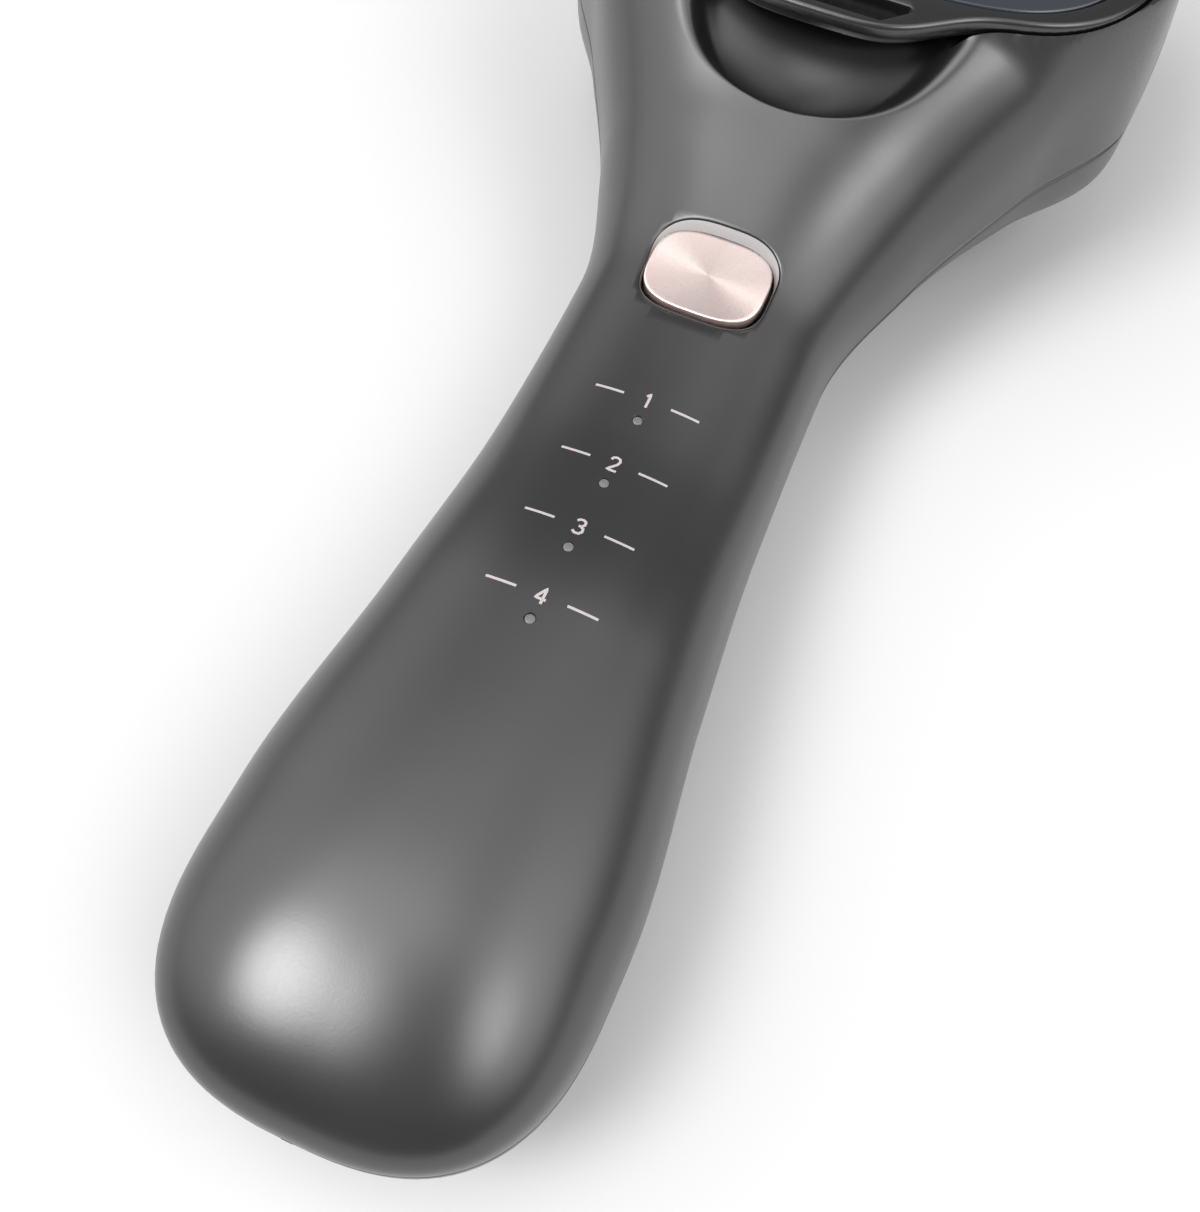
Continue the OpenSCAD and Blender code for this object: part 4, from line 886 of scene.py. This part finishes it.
class MASSAGER_OT_lower_shell(bpy.types.Operator):
    """Builds the lower shell with its openings for the comb plate, foot, contacts and screws"""
    bl_idname = "massager.lower_shell"
    bl_label = "Lower shell"

    def execute(self, context):
        piece = solid("lower_shell", shell(True))
        comb = plan(COMB_HALF - COMB_STEP + 0.3, COMB_REACH - COMB_STEP + 0.3, COMB_SQUARE, HEAD_Y, 160)
        cut(piece, loft([level(comb, -2.0), level(comb, COMB_TOP + 0.3)]))
        holes = [rod(spot, PLUG_R + 0.05, -1.0, 7.2) for spot in PLUGS]
        holes += [rod(spot, PIN_HOLE_R, -1.0, 8.2) for spot in PINS]
        holes.append(rod(FOOT, FOOT_R + 0.05, -1.0, 2.4))
        cut(piece, gathered(holes))
        settle(piece, "housing", "housing_bottom", "body", "lower_housing")
        return {"FINISHED"}


# ---- button, lights and numbers ----

class MASSAGER_OT_button(bpy.types.Operator):
    """Builds the rose metal button with its slightly hollow face, and the pale ring in its pocket, which is
    a painted highlight of the pocket's lit far wall
    """
    bl_idname = "massager.button"
    bl_label = "Button"

    def execute(self, context):
        outline = plan(BUTTON_HALF, BUTTON_REACH, BUTTON_SQUARE, 0.0, 144)
        edge, dish = mm_of("button_edge"), mm_of("button_dish")
        rings = slab_rings(outline, -BUTTON_THICK, 0.0, 0.1, edge)
        inner = grown(outline, -edge)
        for part in (0.96, 0.86, 0.7, 0.5, 0.3, 0.12, 0.02):
            rings.append(level(inner * part, -dish * (1 - part ** 2)))
        points, faces = loft(rings)
        points = np.array([button_place(*p) for p in points])
        settle(solid("button_cap", (points, faces)), "button", "rose_metal", "button", "mode_button")
        # Pale ring in the pocket, widest on the head's side: a painted highlight where the pocket's far wall
        # catches the light
        outline, swell = pocket_outline()
        rings = [on_surface(grown(outline, (swell * (1 - t))[:, None]), 0.05 + 0.5 * t ** 1.3)
                 for t in np.linspace(0, 1, 8)]
        rings += [on_surface(outline, RING_DEPTH - 0.02),
                  on_surface(grown(outline, swell[:, None]), RING_DEPTH - 0.02)]
        ring = solid("button_painted_highlight_ring", loft(rings, round_again=True))
        settle(ring, "housing", "milky_plastic", "ring")
        return {"FINISHED"}


class MASSAGER_OT_lights(bpy.types.Operator):
    """Builds the light guide, whose four domed tips show on the handle"""
    bl_idname = "massager.lights"
    bl_label = "Light guide"

    def execute(self, context):
        low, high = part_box("light_guide")
        base = low.z / MM
        bar = round_block(4.0, (high.y - low.y) / MM, 1.0, (high.y + low.y) / 2 / MM + LENGTH / 2)
        shapes = [loft(slab_rings(bar, base, base + 0.6, 0.1, 0.1, 2))]
        for y in LIGHTS_Y:
            tip = top_height(0.0, y) - 0.05
            post = [(0.0, base + 0.3), (LIGHT_R, base + 0.3)]
            post += [(LIGHT_R * math.cos(a), tip - 0.12 + 0.12 * math.sin(a))
                     for a in np.linspace(0, math.pi / 2, 7)]
            shapes.append(moved(turned(post, 32), (0, y, 0)))
        settle(solid("light_tips", gathered(shapes)), "housing", "milky_plastic", "light", "light_guide")
        return {"FINISHED"}


# Strokes of the numbers 1 to 4, in a box 1 high
NUMBERS = [
    [[(-0.14, 0.78), (0.06, 1.0), (0.06, 0.0)]],
    [[(-0.28, 0.76), (-0.2, 0.93), (0.0, 1.0), (0.2, 0.93), (0.27, 0.74), (0.18, 0.5), (-0.06, 0.24),
      (-0.29, 0.0), (0.3, 0.0)]],
    [[(-0.26, 0.84), (-0.12, 0.98), (0.08, 1.0), (0.24, 0.9), (0.25, 0.68), (0.1, 0.54), (-0.05, 0.53)],
     [(0.06, 0.53), (0.26, 0.42), (0.29, 0.2), (0.14, 0.02), (-0.1, 0.0), (-0.28, 0.14)]],
    [[(0.13, 0.0), (0.13, 1.0), (-0.3, 0.3), (0.32, 0.3)]]]
MARK_REACH = (3.0, 6.6)                         # ends of the short lines, from the middle of the handle


def ribbon(points, width):
    """A flat printed line through points, laid on the body's surface."""
    fine = [np.array(points[0], float)]
    for a, b in zip(points, points[1:]):
        count = max(2, int(math.hypot(b[0] - a[0], b[1] - a[1]) / 0.25))
        fine += [np.array(a) + (np.array(b) - np.array(a)) * k / count for k in range(1, count + 1)]
    fine = np.array(fine)
    along_line = np.gradient(fine, axis=0)
    side = np.stack([-along_line[:, 1], along_line[:, 0]], -1)
    side = side / np.linalg.norm(side, axis=1)[:, None] * width / 2
    rings = []
    for p, s in zip(fine, side):
        ring = []
        for spot, lift in ((p + s, 0.02), (p - s, 0.02), (p - s, -0.1), (p + s, -0.1)):
            ring.append((spot[0], spot[1], top_height(spot[0], spot[1]) + lift))
        rings.append(np.array(ring))
    return loft(rings)


class MASSAGER_OT_numbers(bpy.types.Operator):
    """Prints a plain number between two short lines beside each light"""
    bl_idname = "massager.numbers"
    bl_label = "Numbers"

    def execute(self, context):
        tall, line, gap = mm_of("mark_height"), mm_of("mark_line"), mm_of("mark_gap")
        shapes = []
        for y, strokes in zip(LIGHTS_Y, NUMBERS):
            base = y + gap - tall / 2
            for stroke in strokes:
                shapes.append(ribbon([(x * tall, base + h * tall) for x, h in stroke], line))
            for side in (-1, 1):
                shapes.append(ribbon([(side * reach, y + gap) for reach in MARK_REACH], line))
        settle(solid("printed_numbers", gathered(shapes)), "housing", "milky_plastic", "ink")
        return {"FINISHED"}


# ---- lid ----

QUARTER = Matrix.Rotation(math.pi / 2, 3, "Y")


class MASSAGER_OT_lid(bpy.types.Operator):
    """Builds the lid with its finger tab, slot, panel recess and hinge barrel"""
    bl_idname = "massager.lid"
    bl_label = "Lid"

    def execute(self, context):
        outline = by_angle(lid_outline(), (0, PANEL_Y), 360)
        recess = grown(plan(PANEL_HALF, PANEL_REACH, PANEL_SQUARE, PANEL_Y, 360), PANEL_GAP)
        rings = slab_rings(outline, LID_Z, LID_TOP, mm_of("lid_under"), mm_of("lid_edge"), 8)
        rings += [level(grown(recess, inset), LID_TOP - 0.3 + drop)
                  for inset, drop in ((0.3, 0.3), (0.15, 0.26), (0.04, 0.15), (0.0, 0.0))]
        rings.append(level(recess, PANEL_Z))
        piece = solid("lid_frame_gloss", loft(rings))
        rear, wide = SLOT_Y + SLOT_DEPTH, SLOT_HALF + SLOT_DEPTH
        slot = rounded_polygon([(-SLOT_HALF, SLOT_Y), (SLOT_HALF, SLOT_Y), (wide, rear), (-wide, rear)], 0.6)
        steps = [(0.0, 40.0), (0.0, LID_TOP - 0.4), (0.1, LID_TOP - 0.12), (0.4, LID_TOP + 0.05),
                 (0.5, ABOVE)]
        cut(piece, loft([level(grown(slot, wider), z) for wider, z in steps]))
        barrel = [(0.0, -BARREL_HALF), (HINGE_R - 0.3, -BARREL_HALF), (HINGE_R, -BARREL_HALF + 0.3),
                  (HINGE_R, BARREL_HALF - 0.3), (HINGE_R - 0.3, BARREL_HALF), (0.0, BARREL_HALF)]
        cut(piece, moved(turned(barrel, 40), (0, HINGE_Y, HINGE_Z), QUARTER), "UNION")
        web = round_block(2 * BARREL_HALF - 1, 4.0, 0.4, HINGE_Y - 2.4)
        cut(piece, loft(slab_rings(web, HINGE_Z - 1.2, HINGE_Z + 1.2, 0.2, 0.2, 3)), "UNION")
        bore = turned([(PIN_R + 0.06, -BARREL_HALF - 1), (PIN_R + 0.06, BARREL_HALF + 1)], 32)
        cut(piece, moved(bore, (0, HINGE_Y, HINGE_Z), QUARTER))
        cut(piece, gathered([rod(spot, MAGNET_SEAT_R, 40.0, LID_Z + MAGNET_SEAT) for spot in MAGNETS]))
        settle(piece, "lid", "lid_gloss", "lid", "lid_frame")
        panel = plan(PANEL_HALF, PANEL_REACH, PANEL_SQUARE, PANEL_Y, 300)
        rings = slab_rings(panel, PANEL_Z, PANEL_TOP, 0.1, mm_of("panel_edge"))
        settle(solid("lid_panel_gloss", loft(rings)), "lid", "panel_gloss", "panel", "lid_panel")
        return {"FINISHED"}


class MASSAGER_OT_hinge(bpy.types.Operator):
    """Builds the two hinge brackets that hold the lid's pin"""
    bl_idname = "massager.hinge"
    bl_label = "Hinge"

    def execute(self, context):
        shapes = []
        arch = [(HINGE_R * math.cos(a), HINGE_R * math.sin(a)) for a in np.linspace(0, math.pi, 25)]
        foot = [(-HINGE_R + 0.2, 0), (-HINGE_R + 0.2, BRACKET_SEAT - HINGE_Z),
                (HINGE_R - 0.1, BRACKET_SEAT - HINGE_Z)]
        profile = np.array(arch + foot)
        x0, x1 = BARREL_HALF + 0.3, BRACKET_HALF
        half = (x1 - x0) / 2
        for side in (-1, 1):
            rings = []
            for x, inset in ((-half, 0.25), (-half + 0.25, 0.0), (half - 0.25, 0.0), (half, 0.25)):
                across = np.full(len(profile), side * (x0 + x1) / 2 + x)
                rings.append(np.column_stack([across, (HINGE_Y, HINGE_Z) + profile * (1 - inset / 3)]))
            shapes.append(loft(rings))
        piece = solid("hinge_brackets", gathered(shapes))
        bore = turned([(PIN_R, -BRACKET_HALF - 1), (PIN_R, BRACKET_HALF + 1)], 32)
        cut(piece, moved(bore, (0, HINGE_Y, HINGE_Z), QUARTER))
        settle(piece, "housing", "lid_gloss", "lid", "hinge_bracket")
        return {"FINISHED"}


# ---- underside ----

class MASSAGER_OT_comb(bpy.types.Operator):
    """Builds the comb plate with a rounded flange and holes for the window and the nozzles"""
    bl_idname = "massager.comb"
    bl_label = "Comb plate"

    def execute(self, context):
        flange = plan(COMB_HALF, COMB_REACH, COMB_SQUARE, HEAD_Y, 240)
        core = plan(COMB_HALF - COMB_STEP, COMB_REACH - COMB_STEP, COMB_SQUARE, HEAD_Y, 240)
        rings = slab_rings(flange, COMB_Z, COMB_Z + COMB_FLANGE, 0.9, 0.15)
        rings += [level(core, COMB_Z + COMB_FLANGE), level(core, COMB_TOP)]
        piece = solid("comb_plate_skin", loft(rings))
        rim = [(LENS_R + 0.5, COMB_Z - 1), (LENS_R + 0.5, COMB_Z), (LENS_R + 0.1, COMB_Z + 0.4),
               (LENS_R + 0.1, 20.0)]
        holes = [moved(turned(rim, 96), (0, HEAD_Y, 0))]
        holes += [rod(spot, SLEEVE_R + 0.05, 5.0, 20.0) for spot in NOZZLES]
        cut(piece, gathered(holes))
        settle(piece, "housing", "dark_plastic", "inner", "comb_plate")
        return {"FINISHED"}


def tine_spots():
    """Staggered rows of tines, without those that would meet a nozzle or the window."""
    spots = []
    for row in range(-3, 4):
        for column in range(-4, 5):
            x = (column + (abs(row) % 2) / 2) * TINE_PITCH[0]
            y = HEAD_Y + row * TINE_PITCH[1]
            inside = (abs(x) / (COMB_HALF - 4.5)) ** 3 + (abs(y - HEAD_Y) / (COMB_REACH - 4.5)) ** 3 < 1
            clear = min(math.hypot(x - a, y - b) for a, b in NOZZLES) > 6.9
            if inside and clear and math.hypot(x, y - HEAD_Y) > LENS_R + 4:
                spots.append((x, y))
    return spots


class MASSAGER_OT_tines(bpy.types.Operator):
    """Builds the soft tines with round tips and spreading roots"""
    bl_idname = "massager.tines"
    bl_label = "Tines"

    def execute(self, context):
        profile = [(TINE_TIP * math.sin(a), TINE_TIP * (1 - math.cos(a))) for a in np.linspace(0, 1.45, 9)]
        profile += [(TINE_TIP + (TINE_ROOT - TINE_TIP) * t, TINE_TIP + (9.4 - TINE_TIP) * t)
                    for t in (0.05, 0.3, 0.6, 0.85)]
        profile += [(TINE_FOOT - (TINE_FOOT - TINE_ROOT) * math.cos(a), 9.5 + 1.3 * math.sin(a))
                    for a in np.linspace(0, math.pi / 2, 7)]
        profile += [(TINE_FOOT, COMB_Z), (0.0, COMB_Z)]
        one = turned(profile, context.scene.massager_sizes.tine_sides)
        piece = solid("soft_tines", gathered([moved(one, (x, y, 0)) for x, y in tine_spots()]))
        settle(piece, "housing", "tine_rubber", "tine", "massage_tines")
        return {"FINISHED"}


class MASSAGER_OT_window(bpy.types.Operator):
    """Builds the red window with its stepped face"""
    bl_idname = "massager.window"
    bl_label = "Window"

    def execute(self, context):
        face = COMB_Z - 0.4
        profile = [(0.0, face + 0.15), (1.6, face + 0.15), (1.8, face + 0.35), (2.0, face + 0.15)]
        for r in (3.4, 5.2, 7.0):
            profile += [(r, face + 0.15), (r + 0.15, face + 0.32), (r + 0.3, face + 0.15)]
        profile += [(8.0, face + 0.12), (8.2, face)]
        profile += [(LENS_R - drop, face + inset) for inset, drop in reversed(list(edge_steps(0.35, 4)))]
        top = COMB_TOP + 0.7
        flange = [(LENS_R, COMB_TOP), (LENS_R + 1.6, COMB_TOP), (LENS_R + 1.6, top), (0.0, top)]
        profile = profile[:-1] + flange
        piece = solid("light_window", moved(turned(profile, 96), (0, HEAD_Y, 0)))
        settle(piece, "housing", "red_lens", "lens", "light_lens")
        return {"FINISHED"}


class MASSAGER_OT_butt(bpy.types.Operator):
    """Builds the rubber foot, the screw plugs and the charging contacts under the butt"""
    bl_idname = "massager.butt"
    bl_label = "Foot, plugs and contacts"

    def execute(self, context):
        foot = [(0.0, 0.35), (5.6, 0.35), (6.0, 0.1), (6.3, 0.0), (7.4, 0.0), (7.8, 0.15), (FOOT_R, 0.5),
                (FOOT_R, 2.4), (0.0, 2.4)]
        piece = solid("rubber_foot", moved(turned(foot, 72), (*FOOT, 0)))
        settle(piece, "housing", "rubber_dark", "rubber", "rest_foot")
        plug = [(0.0, 4.42), (1.4, 4.42), (1.55, 4.34), (1.7, 4.3), (1.95, 4.34), (PLUG_R, 4.55),
                (PLUG_R, 5.8), (0.0, 5.8)]
        plugs = gathered([moved(turned(plug, 40), (*spot, 0)) for spot in PLUGS])
        settle(solid("plugs", plugs), "housing", "rubber_dark", "rubber", "screw_plugs")
        pin = [(0.0, 3.95), (0.9, 3.92), (1.3, 3.82), (1.45, 3.84), (1.6, 4.0), (1.6, 8.2), (0.0, 8.2)]
        pins = gathered([moved(turned(pin, 40), (*spot, 0)) for spot in PINS])
        settle(solid("contact_pins", pins), "housing", "gold_contact", "gold", "charge_contacts")
        return {"FINISHED"}


# ---- pod and inner parts ----

def softened(node, name, width, body, slot, look):
    """The CAD node again, with its sharp edges rounded."""
    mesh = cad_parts[node].data.copy()
    work = bmesh.new()
    work.from_mesh(mesh)
    bmesh.ops.remove_doubles(work, verts=work.verts, dist=0.002 * MM)
    bmesh.ops.dissolve_limit(work, angle_limit=math.radians(1.0), verts=work.verts, edges=work.edges)
    work.to_mesh(mesh)
    work.free()
    made = bpy.data.objects.new(name, mesh)
    bpy.context.scene.collection.objects.link(made)
    bevel = made.modifiers.new("edges", "BEVEL")
    bevel.width = width * MM
    bevel.segments = 3
    bevel.limit_method = "ANGLE"
    bevel.angle_limit = math.radians(40)
    bevel.harden_normals = False
    apply_modifiers(made)
    settle(made, body, slot, look, node)


class MASSAGER_OT_pod(bpy.types.Operator):
    """Rounds the edges of the pod, its tray, cover, plug and seal"""
    bl_idname = "massager.pod"
    bl_label = "Serum pod"

    def execute(self, context):
        softened("pod_tray", "tray", 0.35, "housing", "dark_plastic", "inner")
        softened("pod_body", "pod", 0.35, "housing", "pod_plastic", "pod")
        softened("pod_cover", "pod_lid", 0.4, "housing", "pod_plastic", "pod")
        softened("pod_plug", "filling_plug", 0.25, "housing", "rubber_dark", "rubber")
        softened("lid_seal", "seal", 0.15, "lid", "rubber_dark", "rubber")
        return {"FINISHED"}


INNER_FINISHES = {
    "inner": ["button_plunger", "switch_stem", "battery_cradle", "motor_holder"],
    "rubber": ["comb_gasket", "pod_spigots"],
    "board": ["main_board", "charge_board", "light_board"],
    "led": ["indicator_leds", "light_leds"],
    "steel": ["mode_switch", "board_screws", "case_screws", "vibration_motor", "eccentric_weight",
              "nozzle_spring_1", "nozzle_spring_2", "nozzle_spring_3", "nozzle_spring_4",
              "lid_magnets", "deck_magnets", "hinge_pin"],
    "cell": ["battery"],
    "wire": ["battery_leads", "motor_leads", "light_leads"],
    "white": ["nozzle_sleeves", "nozzle_1", "nozzle_2", "nozzle_3", "nozzle_4", "feed_manifold"]}


class MASSAGER_OT_inner_parts(bpy.types.Operator):
    """Gives the parts inside the body their finishes"""
    bl_idname = "massager.inner_parts"
    bl_label = "Inner parts"

    def execute(self, context):
        for name, nodes in INNER_FINISHES.items():
            for node in nodes:
                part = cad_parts[node]
                if not part.material_slots:
                    part.data.materials.append(finish(name))
                for slot in part.material_slots:
                    slot.material = finish(name)
        return {"FINISHED"}


# ---- stage ----

CAMERA_SPOT = (28.35, -121.11, 156.73)
CAMERA_AZIMUTH, CAMERA_ELEVATION, CAMERA_ROLL = 19.04, 61.38, 4.89
CAMERA_LENS, CAMERA_SENSOR = 39.73, 36.0
# Soft lamps on the studio dome: azimuth from the butt's side, elevation, half angle and strength
LAMPS = [(316.2, 55.6, 16.3, 12.0), (270.9, 76.6, 21.0, 1.8), (148.2, 75.7, 28.8, 0.9),
         (68.9, 54.5, 16.1, 3.3), (271.7, 35.8, 47.2, 1.2), (89.8, 43.8, 37.1, 1.7)]
FILL_LIGHT = 0.28
FLOOR_R, FLOOR_Z0, FLOOR_SIDES = 4.0, -0.0002, 96    # in metres


def towards(azimuth, elevation):
    """Direction of that azimuth and elevation, in degrees."""
    az, el = math.radians(azimuth), math.radians(elevation)
    return Vector((math.sin(az) * math.cos(el), -math.cos(az) * math.cos(el), math.sin(el)))


def dome():
    """Dark studio dome with soft round lamps, each bright in its middle and fading to its edge."""
    world = bpy.data.worlds.new("studio_dome")
    world.use_nodes = True
    bpy.context.scene.world = world
    tree = world.node_tree
    tree.nodes.clear()
    where = add(tree, "TexCoord", output="Generated")
    # Seen directly, the dome is white like the floor
    seen = add(tree, "LightPath", output="Is Camera Ray")
    light = add(tree, "Math", {0: seen, 1: FILL_LIGHT}, operation="ADD")
    for azimuth, elevation, half, strength in LAMPS:
        facing = {0: where, 1: towards(azimuth, elevation)}
        near = add(tree, "VectorMath", facing, output="Value", operation="DOT_PRODUCT")
        rim = math.cos(math.radians(half))
        glow = add(tree, "MapRange", {0: near, 1: rim, 4: strength}, interpolation_type="SMOOTHSTEP")
        light = add(tree, "Math", {0: glow, 1: light}, operation="ADD")
    background = add(tree, "Background", {"Color": (1.0, 1.0, 1.0, 1.0), "Strength": light})
    add(tree, "OutputWorld", {"Surface": background})


class MASSAGER_OT_stage(bpy.types.Operator):
    """Sets up the pale floor, the soft light and the camera"""
    bl_idname = "massager.stage"
    bl_label = "Stage"

    def execute(self, context):
        scene = context.scene
        scene.view_settings.view_transform = "Standard"
        dome()
        ring = [(FLOOR_R * math.cos(a), FLOOR_R * math.sin(a), FLOOR_Z0)
                for a in np.linspace(0, 2 * math.pi, FLOOR_SIDES, endpoint=False)]
        mesh = bpy.data.meshes.new("floor")
        mesh.from_pydata(ring, [], [tuple(range(FLOOR_SIDES))])
        floor = bpy.data.objects.new("floor", mesh)
        scene.collection.objects.link(floor)
        # Matt painted board: even and pale
        made, tree, shader, where = surface("matt_painted_board", {"Roughness": 0.9})
        tone = add(tree, "TexNoise", {"Vector": where, "Scale": per_mm(90.0)})
        tint = scene.massager_colours.floor
        colour = add(tree, "Mix", {0: tone, 6: scaled(tint, 0.985), 7: tuple(tint)}, 2, data_type="RGBA")
        tree.links.new(colour, shader.inputs["Base Color"])
        mesh.materials.append(made)
        roll = math.radians(CAMERA_ROLL)
        back = towards(CAMERA_AZIMUTH, CAMERA_ELEVATION)
        right = (-back).cross(Vector((0, 0, 1))).normalized()
        up = right.cross(-back)
        turned_right = right * math.cos(roll) + up * math.sin(roll)
        turned_up = up * math.cos(roll) - right * math.sin(roll)
        data = bpy.data.cameras.new("camera")
        data.lens, data.sensor_width, data.sensor_fit = CAMERA_LENS, CAMERA_SENSOR, "AUTO"
        data.clip_start, data.clip_end = 0.01, 20.0
        camera = bpy.data.objects.new("camera", data)
        scene.collection.objects.link(camera)
        spot = Vector(CAMERA_SPOT) * MM
        camera.matrix_world = Matrix([(turned_right[i], turned_up[i], back[i], spot[i]) for i in range(3)]
                                     + [(0, 0, 0, 1)])
        scene.camera = camera
        return {"FINISHED"}


# ---- panel and registration ----

STEPS = [MASSAGER_OT_stage, MASSAGER_OT_upper_shell, MASSAGER_OT_lower_shell, MASSAGER_OT_button,
         MASSAGER_OT_lights, MASSAGER_OT_numbers, MASSAGER_OT_lid, MASSAGER_OT_hinge, MASSAGER_OT_comb,
         MASSAGER_OT_tines, MASSAGER_OT_window, MASSAGER_OT_butt, MASSAGER_OT_pod, MASSAGER_OT_inner_parts]


class MASSAGER_PT_panel(bpy.types.Panel):
    """Lists the massager's pieces, sizes and colours"""
    bl_idname = "MASSAGER_PT_panel"
    bl_label = "Massager"
    bl_space_type = "VIEW_3D"
    bl_region_type = "UI"
    bl_category = "Massager"

    def draw(self, context):
        for step in STEPS:
            self.layout.operator(step.bl_idname)
        for group in (context.scene.massager_sizes, context.scene.massager_colours):
            box = self.layout.box()
            for name in group.bl_rna.properties.keys():
                if name not in ("rna_type", "name"):
                    box.prop(group, name)


CLASSES = [MassagerSizes, MassagerColours] + STEPS + [MASSAGER_PT_panel]


def register():
    for one in CLASSES:
        bpy.utils.register_class(one)
    bpy.types.Scene.massager_sizes = PointerProperty(type=MassagerSizes)
    bpy.types.Scene.massager_colours = PointerProperty(type=MassagerColours)


def unregister():
    del bpy.types.Scene.massager_colours
    del bpy.types.Scene.massager_sizes
    for one in reversed(CLASSES):
        bpy.utils.unregister_class(one)


def main():
    register()
    for step in STEPS:
        group, name = step.bl_idname.split(".")
        getattr(getattr(bpy.ops, group), name)()


if __name__ == "__main__":
    main()
